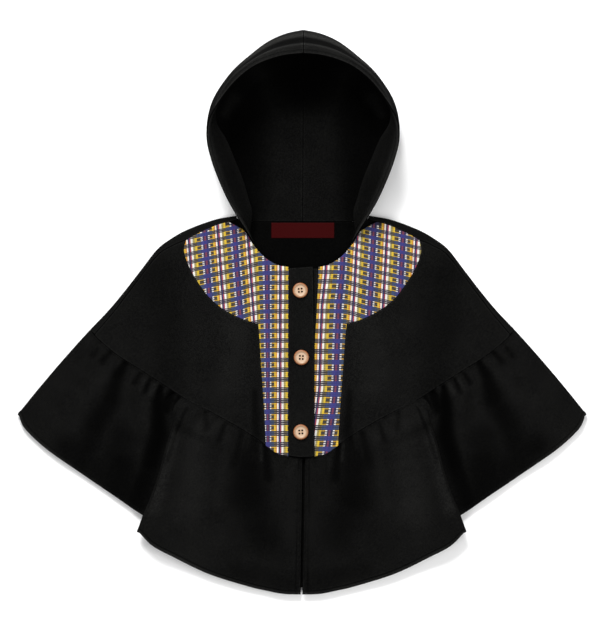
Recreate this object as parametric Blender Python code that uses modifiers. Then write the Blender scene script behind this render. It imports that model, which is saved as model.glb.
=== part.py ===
"""Hooded button-front capelet, lying flat with its hood open.

Black wool cloth is cut as a back panel, two front panels with a patterned bib
let in at the neck, a button band, a gathered ruffle and a two-piece hood.
The piece lies on its back: the back cloth rests on the surface, the front
cloth lies over it, and the hood stands open towards +Z.

Tables are in millimetres, for the wearer's left half as it lies at +X:
x is measured out from the centre line, y from the middle of the length
towards the hood, z up from the surface to the middle of the cloth.
The model is made in metres.
"""

import math

import bpy
import numpy as np
from mathutils.geometry import delaunay_2d_cdt

# Cloth
CLOTH = 2.0
HEM_CLOTH = 3.4
HEM_DEPTH = 7.0
HOOD_HEM = 3.0
BAND_CLOTH = 2.6
LABEL_CLOTH = 0.6
SEAM_GAP = 0.3

# How the layers lie
ROLL_RADIUS = 3.4
FRONT_HEIGHT = 7.0
EDGE_RISE = 0.8
EDGE_REACH = 22.0
LEAN = 0.0034
SIDE_RETURN = 6.0
ROLL_AT_HEM = 2.35
BIB_FOOT = 61.5

# Buttons
BUTTON_DIAMETER = 22.0
BUTTON_THICKNESS = 3.4
BUTTON_HOLE = 2.2
BUTTON_HOLE_SPREAD = 2.9

# Shoulder fold, outer line of the cloth: x, y
SHOULDER_FOLD = [
    (100.3, 140.1),
    (129.0, 134.6),
    (168.2, 120.1),
    (193.6, 105.6),
    (211.7, 91.1),
    (234.2, 62.1),
    (256.6, 33.1),
    (280.6, 4.1),
    (308.1, -24.9),
]

# Shoulder seam, how far it lies in from the fold: share of the fold, inset
SHOULDER_INSET = [
    (0.00, 6.4),
    (0.14, 9.2),
    (0.28, 12.7),
    (0.37, 9.4),
    (0.46, 6.2),
    (0.53, 5.2),
    (0.61, 5.2),
    (0.73, 5.8),
    (0.87, 7.4),
    (1.00, 9.3),
]
BIB_SHARE = 0.285

# Neck seam on the front, from the shoulder to the button band: x, y
NECKLINE = [
    (84.1, 118.3),
    (73.1, 100.9),
    (58.7, 83.8),
    (46.4, 74.4),
    (34.1, 68.4),
]

# Neck seam on the back, from the centre to the shoulder: x, y
BACK_NECK = [
    (0.0, 132.1),
    (36.2, 132.1),
    (69.6, 131.7),
    (87.0, 131.4),
]

# Seam between body and ruffle, from past the centre to the side: x, y
RUFFLE_SEAM = [
    (-4.3, -211.0),
    (19.6, -207.9),
    (34.8, -204.4),
    (49.3, -194.9),
    (61.6, -185.2),
    (85.5, -169.9),
    (114.5, -153.3),
    (141.4, -139.2),
    (168.2, -125.7),
    (201.5, -104.0),
    (234.2, -82.9),
    (268.2, -61.2),
    (295.8, -38.3),
    (305.1, -27.8),
]

# Outer edge of the bib below the shoulder: x, y
BIB_EDGE = [
    (172.0, 91.1),
    (167.5, 73.7),
    (156.6, 51.9),
    (137.0, 24.4),
    (115.3, 5.5),
    (88.9, -8.4),
    (67.9, -15.4),
    (63.8, -20.6),
    (59.7, -75.7),
    (55.5, -136.6),
    (52.8, -181.5),
]

# Inner edges of the bib at the button band, per side: x, y
BIB_INNER = {
    "left": [(23.1, 66.6), (20.9, 4.8), (17.5, -67.0), (16.5, -208.2)],
    "right": [(20.2, 66.6), (20.2, -24.9), (20.2, -126.4), (20.0, -207.8)],
}

# Ruffle on the front, from the centre to its fold: distance along the seam,
# hem x, hem y
RUFFLE_MIDDLE = [
    (0.0, 1.2, -408.3),
    (24.0, 26.8, -407.4),
    (40.0, 52.2, -402.5),
    (62.0, 76.8, -396.7),
    (101.0, 133.4, -379.0),
    (135.0, 187.0, -354.4),
    (165.0, 216.6, -339.6),
    (184.0, 235.8, -321.0),
]

# Ruffle on the front, from its fold to the side: distance along the seam,
# hem x, hem y
RUFFLE_SIDE = [
    (201.0, 187.9, -304.2),
    (212.0, 228.4, -290.7),
    (238.0, 271.1, -265.5),
    (275.0, 323.3, -230.5),
    (315.0, 371.2, -196.9),
    (346.0, 400.8, -169.1),
    (366.0, 409.8, -152.0),
]

# Fold of the front ruffle, its visible edge from the seam to the hem: x, y
FOLD_EDGE = [
    (170.4, -127.9),
    (184.2, -158.3),
    (195.2, -190.2),
    (205.0, -227.9),
    (217.5, -265.6),
    (229.1, -293.2),
    (237.8, -317.8),
]
FOLD_RADIUS = 2.7
FOLD_DEPTH = 42.0
FOLD_SLANT = 0.6
FOLD_OPENS = 0.22
SIDE_HEIGHT = 6.4
MIDDLE_HEIGHT = 7.0
FRONT_EDGE_TOP = {"left": 8.8, "right": 3.0}

# Outermost line of the ruffle at the side, at the hem: x, y
SIDE_CORNER = (411.7, -148.2)
SIDE_BOW = 1.6

# Ruffle on the back, centre to side: distance along the seam, hem x, hem y
BACK_RUFFLE = [
    (4.5, 0.0, -398.5),
    (46.0, 52.2, -394.4),
    (96.0, 114.5, -378.7),
    (146.0, 171.1, -349.7),
    (186.0, 213.2, -314.9),
    (206.0, 240.7, -278.7),
    (246.0, 290.0, -245.3),
    (296.0, 342.2, -209.7),
    (336.0, 381.3, -177.2),
    (357.0, 404.6, -154.6),
]

# Soft hollows and ridges laid in the front: x, y, direction in degrees,
# half length, half width, height; x is negative on the wearer's right
CREASES = [
    (-150.0, 20.0, 62.0, 60.0, 17.0, -0.9),
    (-205.0, -20.0, 50.0, 48.0, 15.0, 0.9),
    (-95.0, -60.0, 84.0, 62.0, 14.0, 0.8),
    (-120.0, -110.0, 100.0, 30.0, 12.0, -0.7),
    (160.0, 10.0, 118.0, 60.0, 16.0, -0.9),
    (214.0, -26.0, 128.0, 50.0, 15.0, 0.9),
    (100.0, -70.0, 98.0, 60.0, 14.0, 0.8),
    (130.0, -100.0, 78.0, 30.0, 12.0, -0.7),
    (60.0, -120.0, 92.0, 36.0, 9.0, -0.6),
    (-66.0, -110.0, 88.0, 40.0, 9.0, -0.6),
]

# Long soft folds of the ruffle: distance along the seam, half width, height,
# share of the drop where it is strongest
RUFFLE_FOLDS = {
    "left": [
        (52.0, 11.0, -1.6, 0.35),
        (88.0, 12.0, 1.3, 0.45),
        (118.0, 10.0, -1.2, 0.30),
        (150.0, 11.0, 1.0, 0.40),
        (232.0, 11.0, 1.3, 0.35),
        (262.0, 12.0, -1.3, 0.40),
        (300.0, 13.0, 1.2, 0.35),
        (330.0, 9.0, -0.9, 0.30),
    ],
    "right": [
        (46.0, 10.0, -1.5, 0.40),
        (80.0, 13.0, 1.4, 0.40),
        (112.0, 10.0, -1.3, 0.30),
        (146.0, 11.0, 1.1, 0.45),
        (228.0, 11.0, 1.2, 0.30),
        (256.0, 12.0, -1.4, 0.40),
        (292.0, 13.0, 1.3, 0.40),
        (326.0, 9.0, -0.8, 0.30),
    ],
}

# Gathers under the seam: height, distance from the seam where they are
# strongest, mean spacing
FRONT_GATHER = (1.7, 9.0, 18.6)
BACK_GATHER = (0.8, 12.0, 29.0)

# Hood, one row a station from the neck up the rim to the crown:
# rim, crease, outer turn, start of the flat back (x, y, z each), centre y
HOOD = [
    (71.5, 102.1, 9.6, 80.6, 117.9, 8.9, 91.9, 135.4, 5.4, 80.5, 132.7, 1.0, 132.4),
    (83.5, 121.1, 19.0, 75.7, 131.7, 14.5, 95.1, 144.7, 6.8, 80.5, 143.5, 1.0, 144.0),
    (96.3, 141.5, 28.5, 74.5, 147.6, 20.0, 98.0, 152.8, 7.6, 81.9, 153.4, 1.0, 154.9),
    (109.2, 164.3, 38.0, 79.5, 165.0, 23.0, 108.5, 168.5, 7.5, 89.2, 170.1, 1.0, 172.3),
    (121.9, 192.6, 50.0, 87.7, 192.6, 31.0, 121.4, 195.5, 10.5, 96.4, 196.9, 1.0, 192.6),
    (132.4, 221.6, 60.0, 99.5, 221.6, 39.0, 131.9, 224.5, 15.0, 101.5, 224.5, 1.0, 212.9),
    (138.9, 250.6, 68.0, 111.4, 249.8, 47.0, 138.6, 253.5, 20.0, 105.8, 250.6, 1.0, 233.2),
    (136.3, 277.4, 74.0, 126.1, 276.1, 58.0, 136.9, 281.6, 26.0, 105.8, 273.8, 1.0, 253.5),
    (122.1, 302.8, 78.0, 123.5, 306.2, 65.0, 126.7, 311.2, 32.0, 98.6, 295.5, 1.0, 273.8),
    (98.3, 333.2, 80.0, 101.8, 339.9, 72.0, 102.2, 345.4, 36.0, 81.2, 320.2, 1.0, 291.2),
    (73.2, 353.8, 80.0, 74.5, 362.2, 73.0, 73.4, 372.1, 36.0, 59.4, 337.6, 1.0, 308.6),
    (48.6, 365.1, 80.0, 49.6, 376.1, 73.0, 49.3, 390.6, 36.0, 39.1, 349.2, 1.0, 321.6),
    (24.1, 371.5, 80.0, 24.6, 384.0, 73.0, 24.6, 401.9, 36.0, 19.6, 356.4, 1.0, 331.8),
    (0.0, 373.8, 80.0, 0.0, 387.6, 73.0, 0.0, 407.3, 36.0, 0.0, 359.3, 1.0, 339.0),
]
HOOD_COLUMNS = 24
HOOD_ROWS = [0.0, 0.35, 0.7, 1.0, 1.25, 1.5, 1.75, 2.0, 2.25, 2.5, 2.75, 3.0, 3.4, 4.0]
CROWN_FOLD = 1.3

# Button band, its left and right edge from neck to ruffle: left x, y, right x, y
BAND_TOP = [
    (-19.9, 65.0, 15.4, 67.6),
    (-19.9, 18.6, 16.5, 18.6),
    (-19.9, -68.4, 17.5, -68.4),
    (-19.9, -155.4, 18.1, -155.4),
    (-19.7, -207.3, 18.3, -208.2),
]
BAND_UNDER = [
    (-11.5, 64.4, 22.6, 64.7),
    (-11.5, 4.8, 20.4, 4.8),
    (-11.5, -67.0, 17.1, -67.0),
    (-11.5, -208.5, 16.1, -207.6),
]
BAND_SAG = 1.8
BAND_LIFT = 2.6
BAND_SLOPE = 7.4

# Neck label: x and y of its corners
LABEL = [
    (-44.7, 130.5),
    (-44.7, 109.9),
    (52.2, 109.9),
    (52.2, 130.5),
]

# Buttons: name, x, y, turn in degrees
BUTTONS = [
    ("button_top", -3.2, 32.6, 20.0),
    ("button_middle", -1.3, -64.7, 45.0),
    ("button_bottom", -1.7, -172.7, 8.0),
]

# Surface colours in linear values, roughness
MATERIALS = {
    "black_wool": ((0.009, 0.009, 0.010), 0.93),
    "bib_weave": ((0.200, 0.180, 0.170), 0.85),
    "label_satin": ((0.190, 0.010, 0.014), 0.55),
    "button_wood": ((0.620, 0.380, 0.200), 0.45),
}


def smooth(value):
    """Ease from 0 to 1 with level ends."""
    value = np.clip(value, 0.0, 1.0)
    return value * value * (3.0 - 2.0 * value)


def through(table, positions):
    """Values on a smooth curve through the rows of a table, at row positions."""
    rows = np.asarray(table, dtype=float)
    last = len(rows) - 1
    positions = np.clip(np.asarray(positions, dtype=float), 0.0, last)
    index = np.minimum(positions.astype(int), last - 1)
    t = (positions - index).reshape((-1,) + (1,) * (rows.ndim - 1))
    before = rows[np.maximum(index - 1, 0)]
    start = rows[index]
    end = rows[index + 1]
    after = rows[np.minimum(index + 2, last)]
    first = (index == 0).reshape(t.shape)
    final = (index == last - 1).reshape(t.shape)
    slope_start = np.where(first, end - start, (end - before) / 2.0)
    slope_end = np.where(final, end - start, (after - start) / 2.0)
    return (
        (2 * t**3 - 3 * t**2 + 1) * start
        + (t**3 - 2 * t**2 + t) * slope_start
        + (3 * t**2 - 2 * t**3) * end
        + (t**3 - t**2) * slope_end
    )


def evenly(points, count):
    """Points at even distances along a polyline."""
    points = np.asarray(points, dtype=float)
    steps = np.linalg.norm(np.diff(points, axis=0), axis=1)
    length = np.concatenate([[0.0], np.cumsum(steps)])
    wanted = np.linspace(0.0, length[-1], count)
    return np.stack([np.interp(wanted, length, column) for column in points.T], axis=1)


def fine(points):
    """A dense polyline on the smooth curve through a table of points."""
    return through(points, np.linspace(0.0, len(points) - 1.0, 12 * (len(points) - 1) + 1))


def lengths(points):
    """Distance along a polyline at each of its points."""
    steps = np.linalg.norm(np.diff(points, axis=0), axis=1)
    return np.concatenate([[0.0], np.cumsum(steps)])


def at_length(points, wanted):
    """Points of a polyline at given distances along it."""
    length = lengths(points)
    return np.stack([np.interp(wanted, length, column) for column in points.T], axis=-1)


def inward(points):
    """Unit vectors square to the fold lines of the sides, towards the body."""
    slope = np.gradient(points, axis=0)
    slope /= np.linalg.norm(slope, axis=1, keepdims=True)
    return np.stack([slope[:, 1], -slope[:, 0]], axis=1)


# Shared lines of the left half
SHOULDER_OUTER = evenly(fine(SHOULDER_FOLD), 18)
SHOULDER_IN = inward(SHOULDER_OUTER)
SHOULDER_MID = SHOULDER_OUTER + SHOULDER_IN * CLOTH / 2
SHARES = np.linspace(0.0, 1.0, len(SHOULDER_OUTER))
INSETS = np.interp(SHARES, *zip(*SHOULDER_INSET))
SHOULDER_SEAM = SHOULDER_OUTER + SHOULDER_IN * INSETS[:, None]
SEAM_LINE = evenly(fine(RUFFLE_SEAM), 34)
SEAM_LENGTH = lengths(SEAM_LINE)[-1]
BACK_SEAM = evenly(SEAM_LINE, 13)


def fold_distance(x, y):
    """Distance from the shoulder fold."""
    flat = np.stack([np.abs(np.ravel(x)), np.ravel(y)], axis=1)
    start = SHOULDER_OUTER[:-1]
    along = SHOULDER_OUTER[1:] - start
    offset = flat[:, None, :] - start[None]
    share = np.clip((offset * along).sum(-1) / (along**2).sum(-1), 0.0, 1.0)
    nearest = np.linalg.norm(offset - share[..., None] * along, axis=-1).min(axis=1)
    return nearest.reshape(np.shape(x))


def front_height(x, y):
    """Height of the middle of the front cloth above the surface."""
    x = np.asarray(x, dtype=float)
    y = np.asarray(y, dtype=float)
    height = FRONT_HEIGHT + EDGE_RISE * np.exp(-((fold_distance(x, y) / EDGE_REACH) ** 2))
    for crease_x, crease_y, turn, half_length, half_width, rise in CREASES:
        c = math.cos(math.radians(turn))
        s = math.sin(math.radians(turn))
        along = (x - crease_x) * c + (y - crease_y) * s
        across = (y - crease_y) * c - (x - crease_x) * s
        height = height + rise * np.exp(-((along / half_length) ** 2) - (across / half_width) ** 2)
    return height


def add_object(name, points, faces, material):
    """Make one closed body from points in millimetres."""
    points = np.array(points, dtype=float)
    points[:, 0] += LEAN * points[:, 1]
    mesh = bpy.data.meshes.new(name)
    mesh.from_pydata((points / 1000.0).tolist(), [], faces)
    mesh.validate()
    mesh.update()
    body = bpy.data.objects.new(name, mesh)
    body.data.materials.append(MATERIAL[material])
    CAPE.objects.link(body)
    return body


def signed_volume(points, faces):
    """Volume of a closed mesh, negative when its faces look inwards."""
    total = 0.0
    for face in faces:
        first = points[face[0]]
        for second, third in zip(face[1:-1], face[2:]):
            total += np.dot(first, np.cross(points[second], points[third]))
    return total / 6.0


def facing_out(points, faces):
    """Turn all faces over when the body would be inside out."""
    if signed_volume(points, faces) < 0:
        return [face[::-1] for face in faces]
    return faces


def sheet_normals(middle):
    """Unit normals of a grid of points."""
    across = np.gradient(middle, axis=1)
    down = np.gradient(middle, axis=0)
    normal = np.cross(across, down)
    return normal / np.maximum(np.linalg.norm(normal, axis=2, keepdims=True), 1e-9)


def sheet(name, middle, half, material, normal=None):
    """Close a grid of points into cloth with a thickness."""
    if normal is None:
        normal = sheet_normals(middle)
    rows, columns = middle.shape[:2]
    half = np.broadcast_to(half, (rows, columns))[..., None]
    points = np.concatenate([
        (middle + normal * half).reshape(-1, 3),
        (middle - normal * half).reshape(-1, 3),
    ])
    under = rows * columns
    faces = []
    for row in range(rows - 1):
        for column in range(columns - 1):
            a = row * columns + column
            quad = (a, a + 1, a + columns + 1, a + columns)
            faces.append(quad)
            faces.append(tuple(under + corner for corner in reversed(quad)))
    rim = list(range(columns))
    rim += [row * columns + columns - 1 for row in range(1, rows)]
    rim += [(rows - 1) * columns + column for column in range(columns - 2, -1, -1)]
    rim += [row * columns for row in range(rows - 2, 0, -1)]
    for here, there in zip(rim, rim[1:] + rim[:1]):
        faces.append((there, here, under + here, under + there))
    return add_object(name, points, facing_out(points, faces), material)


def drawn_in(outline, amount):
    """Move a counter-clockwise outline inwards."""
    after = np.roll(outline, -1, axis=0) - outline
    before = outline - np.roll(outline, 1, axis=0)
    after /= np.linalg.norm(after, axis=1, keepdims=True)
    before /= np.linalg.norm(before, axis=1, keepdims=True)
    square_after = np.stack([-after[:, 1], after[:, 0]], axis=1)
    square_before = np.stack([-before[:, 1], before[:, 0]], axis=1)
    both = square_after + square_before
    both /= np.linalg.norm(both, axis=1, keepdims=True)
    reach = amount / np.maximum((both * square_after).sum(1), 0.4)
    return outline + both * reach[:, None]


def panel(name, outline, spacing, height, half, material, gap=SEAM_GAP / 2):
    """Cut cloth to an outline and lay it at a height."""
    outline = np.asarray(outline, dtype=float)
    turn = np.roll(outline, -1, axis=0)
    if (outline[:, 0] * turn[:, 1] - turn[:, 0] * outline[:, 1]).sum() < 0:
        outline = outline[::-1]
    outline = drawn_in(outline, gap)
    low = outline.min(axis=0)
    high = outline.max(axis=0)
    inside = []
    row = 0
    y = low[1] + spacing / 2
    while y < high[1]:
        x = low[0] + spacing * (0.5 if row % 2 else 1.0)
        while x < high[0]:
            spot = np.array([x, y])
            start = outline
            end = np.roll(outline, -1, axis=0)
            crosses = (start[:, 1] > y) != (end[:, 1] > y)
            level = np.where(crosses, end[:, 1] - start[:, 1], 1.0)
            cut = start[:, 0] + (y - start[:, 1]) / level * (end[:, 0] - start[:, 0])
            along = end - start
            share = np.clip(((spot - start) * along).sum(1) / (along**2).sum(1), 0.0, 1.0)
            away = np.linalg.norm(spot - start - share[:, None] * along, axis=1).min()
            if (crosses & (cut > x)).sum() % 2 and away > 0.45 * spacing:
                inside.append(spot)
            x += spacing
        y += spacing * 0.87
        row += 1
    plan = np.vstack([outline] + [np.array(inside).reshape(-1, 2)])
    made = delaunay_2d_cdt(plan.tolist(), [], [list(range(len(outline)))], 1, 1e-5)
    flat = np.array([tuple(point) for point in made[0]])
    triangles = [tuple(face) for face in made[2]]
    level = height(flat[:, 0], flat[:, 1])
    points = np.vstack([
        np.column_stack([flat, level + half]),
        np.column_stack([flat, level - half]),
    ])
    under = len(flat)
    faces = list(triangles)
    faces += [tuple(under + corner for corner in reversed(face)) for face in triangles]
    sides = {(a, b) for face in triangles for a, b in zip(face, face[1:] + face[:1])}
    for a, b in sorted(sides):
        if (b, a) not in sides:
            faces.append((b, a, under + a, under + b))
    return add_object(name, points, facing_out(points, faces), material)


def mirrored(points, side):
    """Points of the left half, turned over for the right."""
    points = np.array(points, dtype=float)
    points[..., 0] *= side
    return points


def square_to(points):
    """Unit vectors to the left of a polyline's direction."""
    slope = np.gradient(points, axis=0)
    slope /= np.linalg.norm(slope, axis=1, keepdims=True)
    return np.stack([-slope[:, 1], slope[:, 0]], axis=1)


def without(normal, direction):
    """Unit normals with their part along a direction taken out."""
    direction = direction / np.linalg.norm(direction, axis=-1, keepdims=True)
    normal = normal - (normal * direction).sum(-1, keepdims=True) * direction
    return normal / np.linalg.norm(normal, axis=-1, keepdims=True)


def back_panel():
    """The back, with its shoulders rolled over to the front."""
    edge = SHOULDER_MID + SHOULDER_IN * ROLL_RADIUS
    seam = BACK_SEAM + square_to(BACK_SEAM) * SEAM_GAP / 2
    seam = seam[1:]
    seam[0] = [0.0, seam[0, 1]]
    seam[-1] = edge[-1]
    columns = len(seam) - 1
    neck = evenly(np.vstack([fine(BACK_NECK), edge[:1]]), columns + 1)
    across = np.linspace(0.0, 1.0, columns + 1)
    rows = []
    for v, side, n, reach in zip(SHARES, edge, SHOULDER_IN, INSETS):
        blend = (1 - v) * neck + v * seam
        drift = side - blend[-1]
        plan = blend + np.outer(across**2, drift)
        half_row = [(x, y, CLOTH / 2) for x, y in plan]
        for turn in (-50, -10, 30, 60, 90):
            angle = math.radians(turn)
            x, y = side - n * ROLL_RADIUS * math.cos(angle)
            half_row.append((x, y, CLOTH / 2 + ROLL_RADIUS * (1 + math.sin(angle))))
        x, y = side + n * (reach - CLOTH / 2 - SEAM_GAP / 2 - ROLL_RADIUS)
        half_row.append((x, y, float(front_height(x, y))))
        row = np.array(half_row)
        rows.append(np.vstack([mirrored(row[:0:-1], -1.0), row]))
    middle = np.array(rows)
    normal = sheet_normals(middle)
    flat = middle[..., 2] < CLOTH / 2 + 1e-6
    centre = middle.shape[1] // 2
    normal[flat] = np.array([0.0, 0.0, np.sign(normal[3, centre, 2])])
    normal[0] = without(normal[0], middle[1] - middle[0])
    normal[-1] = without(normal[-1], middle[-1] - middle[-2])
    inside_out = square_to(middle[-1, :, :2])
    normal[-1, 8:-8] = without(normal[-1], np.column_stack([inside_out, np.zeros(len(inside_out))]))[8:-8]
    return sheet("back_panel", middle, CLOTH / 2, "black_wool", normal)


def part_of(line, marks, start, end):
    """Points of a polyline between two marks, with all its own corners."""
    low, high = min(start, end), max(start, end)
    kept = [mark for mark in marks if low + 1e-6 < mark < high - 1e-6]
    wanted = [low] + kept + [high]
    if start > end:
        wanted = wanted[::-1]
    return np.stack([np.interp(wanted, marks, column) for column in line.T], axis=1)


def shoulder_part(start, end):
    """Points of the shoulder seam between two shares of its length."""
    return part_of(SHOULDER_SEAM, SHARES, start, end)


def seam_part(start, end):
    """Points of the ruffle seam between two distances along it."""
    return part_of(SEAM_LINE, lengths(SEAM_LINE), start, end)


def bib_side(count):
    """Outer edge of the bib from the shoulder seam down to the ruffle seam."""
    top = shoulder_part(BIB_SHARE, BIB_SHARE)[:1]
    foot = at_length(SEAM_LINE, [BIB_FOOT])
    return evenly(fine(np.vstack([top, BIB_EDGE, foot])), count)


def front_panel(name, side):
    """Plain front, between shoulder, bib and ruffle."""
    outline = np.vstack([
        shoulder_part(BIB_SHARE, 1.0),
        seam_part(SEAM_LENGTH - 8.0, BIB_FOOT),
        bib_side(20)[-2:0:-1],
    ])
    panel(name, mirrored(outline, side), 21.0, front_height, CLOTH / 2, "black_wool")


def bib(name, side):
    """Patterned bib let into the front."""
    key = "left" if side > 0 else "right"
    inner = np.array(BIB_INNER[key])
    foot = seam_part(BIB_FOOT, inner[-1, 0] + 4.4)
    inner[-1] = foot[-1]
    neck = fine(np.vstack([shoulder_part(0.03, 0.03)[:1], NECKLINE, inner[:1]]))
    outline = np.vstack([
        bib_side(20)[:-1],
        foot[:-1],
        evenly(fine(inner)[::-1], 11)[:-1],
        evenly(neck[::-1], 11)[:-1],
        shoulder_part(0.03, BIB_SHARE)[:-1],
    ])
    panel(name, mirrored(outline, side), 16.0, front_height, CLOTH / 2, "bib_weave")


def band(name, table, across, lift, half):
    """A straight band of cloth between a left and a right edge."""
    ladder = np.asarray(table, dtype=float)
    down = np.linspace(0.0, len(ladder) - 1.0, 15)
    edges = np.stack([np.interp(down, np.arange(len(ladder)), column) for column in ladder.T], axis=1)
    share = np.asarray(across)[None, :, None]
    plan = edges[:, None, :2] * (1 - share) + edges[:, None, 2:] * share
    sag = 4 * share[..., 0] * (1 - share[..., 0])
    plan[-1, :, 1] -= BAND_SAG * sag[0]
    x = plan[..., 0]
    rise = smooth((x - ladder[0, 0]) / BAND_SLOPE)
    level = front_height(x, plan[..., 1]) + half - CLOTH / 2 + (lift - half + CLOTH / 2) * rise
    if lift == 0.0:
        level = front_height(x, plan[..., 1])
    middle = np.dstack([plan, level])
    upright = np.zeros_like(middle)
    upright[..., 2] = 1.0
    sheet(name, middle, half, "black_wool", upright)


def stops(line, start, end, parts):
    """Distances along a polyline that keep its corners, each side cut into parts."""
    marks = lengths(line)
    inner = marks[(marks > start + 1.5) & (marks < end - 1.5)]
    corners = np.concatenate([[start], inner, [end]])
    share = np.arange(parts) / parts
    between = corners[:-1, None] + np.diff(corners)[:, None] * share
    return np.append(between.ravel(), end)


def side_line(share):
    """Outermost line of the ruffle's side, its inward direction, at a share of the drop."""
    start = SHOULDER_MID[-1] + (SHOULDER_MID[-1] - SHOULDER_MID[-2]) * 0.04
    end = np.array(SIDE_CORNER)
    along = (end - start) / np.linalg.norm(end - start)
    square = np.array([along[1], -along[0]])
    bow = SIDE_BOW * 4 * share * (1 - share)
    return start + np.outer(share, end - start) - np.outer(bow, square), square


def hem_half(share, drop):
    """Half the thickness: plain cloth, then the turned hem."""
    from_hem = (1.0 - share) * drop
    band = 1.0 - smooth((from_hem - HEM_DEPTH + 0.6) / 1.2)
    edge = smooth(from_hem / 1.0) * 0.35 + 0.65
    return (CLOTH / 2 + (HEM_CLOTH - CLOTH) / 2 * band) * np.where(from_hem < 1.0, edge, 1.0)


def gather(along, below, setting, start):
    """Height of the gathers at a distance along the seam and below it."""
    rise, strongest, spacing = setting
    phase = 2 * math.pi * along / spacing + 0.9 * np.sin(along / 41.0 + start)
    phase = phase + 0.6 * np.sin(along / 23.0 + 1.0)
    size = rise * (0.75 + 0.25 * np.sin(along / 31.0 + start))
    reach = below / strongest
    return size * np.cos(phase) * reach * np.exp(1.0 - reach)


FRONT_ROWS = np.array([0.0, 0.04, 0.09, 0.16, 0.3, 0.6, 0.953, 0.97, 1.0])
BACK_ROWS = np.array([0.0, 0.07, 0.18, 0.45, 0.953, 0.97, 1.0])


def side_seam(share):
    """Seam between front and back ruffle, under the fold of the side."""
    line, square = side_line(share)
    start = at_length(BACK_SEAM, [SEAM_LENGTH - SIDE_RETURN])
    end = line[-1:] + square * (ROLL_AT_HEM + SIDE_RETURN)
    return start + np.outer(share, (end - start)[0])


def fold_line(share):
    """Where the fold's first turn starts, and the directions along and across it."""
    edge = fine(FOLD_EDGE)
    down = (edge[-1] - edge[0]) / np.linalg.norm(edge[-1] - edge[0])
    across = np.array([-down[1], down[0]])
    start = at_length(edge, share * lengths(edge)[-1]) - across * FOLD_RADIUS
    return start, down, across


def fold_section(share, steps):
    """The fold cut across: distance out, distance down and fall of the cloth."""
    opening = math.pi * float(smooth(share / FOLD_OPENS))
    depth = FOLD_DEPTH * max(0.0, share - 0.05) / 0.95
    turn = math.pi * FOLD_RADIUS
    place = np.linspace(0.0, 1.0, 61)
    marks = np.concatenate([turn * place, turn + depth * place[1:], turn + depth + turn * place[1:]])
    bend = opening * np.interp(marks, [0.0, turn, turn + depth, 2 * turn + depth], [0.0, 1.0, 1.0, 0.0])
    step = np.diff(marks)
    out = np.concatenate([[0.0], np.cumsum(step * np.cos((bend[1:] + bend[:-1]) / 2))])
    fall = np.concatenate([[0.0], np.cumsum(step * np.sin((bend[1:] + bend[:-1]) / 2))])
    slide = -FOLD_SLANT * share * np.clip(marks - turn, 0.0, depth)
    wanted = np.interp(steps, [0.0, 1.0, 2.0, 3.0], [0.0, turn, turn + depth, 2 * turn + depth])
    return [np.interp(wanted, marks, values) for values in (out, slide, fall)]


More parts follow.
